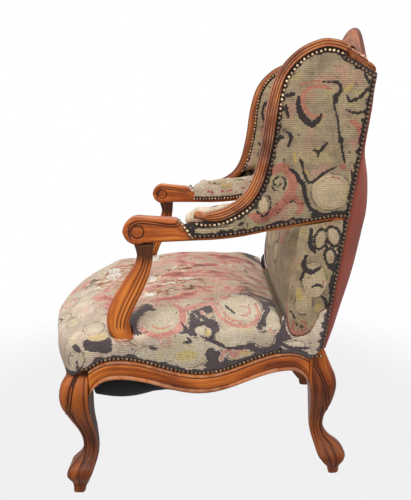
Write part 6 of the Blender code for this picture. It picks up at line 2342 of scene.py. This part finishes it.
@dataclass
class Studio:
    """A plain pale floor, soft light and the camera."""

    azimuth: float = 90.7357
    elevation: float = 12.5803
    focal: float = 590.64
    spot: tuple[float, float, float] = (1.6231, 0.0165, 0.8847)
    long_side: int = 500

    def build(self) -> None:
        """Sets up floor, light and camera."""
        self._camera()
        self._floor()
        self._world()
        self._lamp("key", (1.9, -1.7, 2.3), 2.2, 60.0)
        self._lamp("fill", (2.2, 1.9, 1.5), 2.2, 34.0)
        self._lamp("top", (0.0, 0.2, 2.9), 2.0, 26.0)
        self._lamp("rim", (-1.8, 1.2, 1.9), 1.6, 14.0)

    def _camera(self) -> None:
        """The camera where the photograph was taken from."""
        data = bpy.data.cameras.new("camera")
        data.sensor_width = 36.0
        data.lens = self.focal * data.sensor_width / self.long_side
        made = bpy.data.objects.new("camera", data)
        a, e = math.radians(self.azimuth), math.radians(self.elevation)
        back = Vector((math.sin(a) * math.cos(e), -math.cos(a) * math.cos(e), math.sin(e)))
        made.location = self.spot
        made.rotation_mode = "QUATERNION"
        made.rotation_quaternion = (-back).to_track_quat("-Z", "Y")
        bpy.context.scene.collection.objects.link(made)
        bpy.context.scene.camera = made

    def _floor(self) -> None:
        """A pale round floor that fades into the background."""
        turn = np.linspace(0, 2 * math.pi, 96, endpoint=False)
        rings = []
        for radius in np.linspace(0.05, 2.6, 24):
            rings.append(np.column_stack([radius * np.cos(turn), radius * np.sin(turn), np.zeros(len(turn))]))
        mesh = grid_mesh("floor", np.array(rings)[::-1], True, True)
        tree = Tree("pale floor")
        x, y, _ = tree.parts(tree.place())
        reach = tree.node("ShaderNodeMath", {"operation": "SQRT"}, {0: x * x + y * y})
        cloud = tree.noise(tree.place(), 3.0, 2.0)
        tree.surface(tree.mix(cloud, (0.90, 0.90, 0.90, 1.0), (0.93, 0.93, 0.93, 1.0)), 0.9)
        rays = tree.node("ShaderNodeLightPath").socket.node.outputs
        white = tree.node("ShaderNodeEmission", None, {"Color": (1.0, 1.0, 1.0, 1.0), "Strength": 1.0})
        seen = Val(tree, rays["Is Camera Ray"]).most(Val(tree, rays["Is Glossy Ray"]))
        seen = seen.most(Val(tree, rays["Is Transmission Ray"]))
        share = seen * (0.86 + reach.step(0.6, 1.3) * 0.14)
        mixed = tree.node("ShaderNodeMixShader", None,
                          {0: share, 1: Val(tree, tree.shader.outputs[0]), 2: white})
        tree.feed(tree.nodes["Material Output"].inputs["Surface"], mixed)
        mesh.materials.append(tree.material)
        made = bpy.data.objects.new("floor", mesh)
        bpy.context.scene.collection.objects.link(made)

    def _world(self) -> None:
        """A white background and even light from all round."""
        world = bpy.data.worlds.new("studio")
        world.use_nodes = True
        bpy.context.scene.world = world
        nodes, links = world.node_tree.nodes, world.node_tree.links
        nodes["Background"].inputs["Color"].default_value = (1.0, 1.0, 1.0, 1.0)
        rays = nodes.new("ShaderNodeLightPath").outputs
        seen = rays["Is Camera Ray"]
        for word in ("Is Glossy Ray", "Is Transmission Ray"):
            more = nodes.new("ShaderNodeMath")
            more.operation = "MAXIMUM"
            links.new(seen, more.inputs[0])
            links.new(rays[word], more.inputs[1])
            seen = more.outputs[0]
        level = nodes.new("ShaderNodeMapRange")
        level.inputs["To Min"].default_value = 0.46
        links.new(seen, level.inputs["Value"])
        links.new(level.outputs["Result"], nodes["Background"].inputs["Strength"])

    def _lamp(self, name: str, spot: tuple[float, float, float], size: float, power: float) -> None:
        """A large soft lamp that faces the chair.

        Args:
            name: Name of the lamp.
            spot: Where it hangs.
            size: Length of its side.
            power: Its power in watts.
        """
        data = bpy.data.lights.new(name, "AREA")
        data.size = size
        data.energy = power
        made = bpy.data.objects.new(name, data)
        made.location = spot
        made.rotation_mode = "QUATERNION"
        made.rotation_quaternion = (Vector((0.0, 0.0, 0.55)) - Vector(spot)).to_track_quat("-Z", "Y")
        bpy.context.scene.collection.objects.link(made)


def main() -> None:
    """Builds the chair's looks piece by piece."""
    logging.basicConfig(level=logging.INFO, format="%(message)s")
    bpy.context.scene.view_settings.view_transform = "Standard"
    form = ChairForm()
    rail_wood = CarvedWood("rail wood", srgb(106, 46, 16), srgb(172, 86, 32), srgb(216, 126, 52)).material()
    wing_wood = CarvedWood("wing wood", srgb(90, 41, 16), srgb(148, 77, 34), srgb(198, 118, 60),
                           hollow=srgb(74, 42, 32)).material()
    # The legs get a darker copy of the rail wood as painted shade, with more painted shade toward the floor.
    shaded_leg_wood = CarvedWood("leg wood", srgb(84, 36, 13), srgb(138, 65, 24), srgb(182, 98, 40),
                          low_shade=0.38).material()
    wing_wool = Tapestry("wing tapestry", srgb(167, 147, 118), srgb(141, 122, 97)).material()
    seat_wool = Tapestry("seat tapestry", srgb(218, 198, 178), srgb(190, 170, 150), dark=srgb(78, 67, 72),
                         leaf=srgb(216, 202, 176), leaf_shade=srgb(192, 176, 152), pink=srgb(216, 156, 140),
                         pink_deep=srgb(196, 124, 114), blush=srgb(224, 180, 164), straw=srgb(214, 198, 150),
                         ochre=srgb(212, 186, 110)).material()
    pad_wool = Tapestry("pad tapestry", srgb(216, 199, 174), srgb(188, 172, 150), pink=srgb(204, 96, 92),
                        pink_deep=srgb(180, 66, 74)).material()
    rust = WovenCloth("rust cloth", srgb(172, 88, 70), srgb(130, 60, 48)).material()
    black = WovenCloth("black cloth", srgb(26, 25, 27), srgb(10, 10, 11)).material()
    Studio().build()
    Legs(form, shaded_leg_wood).build()
    SeatRails(form, rail_wood).build()
    Arms(form, rail_wood).build()
    Wings(form, wing_wood, rail_wood).build()
    Crest(form, wing_wood).build()
    covers = Upholstery(form, wing_wool, seat_wool, pad_wool, rust, black)
    covers.build()
    Tatters(form, covers.seat_points, Stuffing().material(), Thread().material()).build()
    Nails(form, AgedBrass().material()).build()
    plain = PlainWood().material()
    jute = WovenCloth("jute webbing", srgb(178, 146, 104), srgb(120, 92, 60), 0.0030).material()
    canvas = WovenCloth("canvas", srgb(206, 190, 160), srgb(160, 142, 112)).material()
    HiddenFrame(plain, jute, canvas, DrawnSteel().material()).dress()


if __name__ == "__main__":
    main()
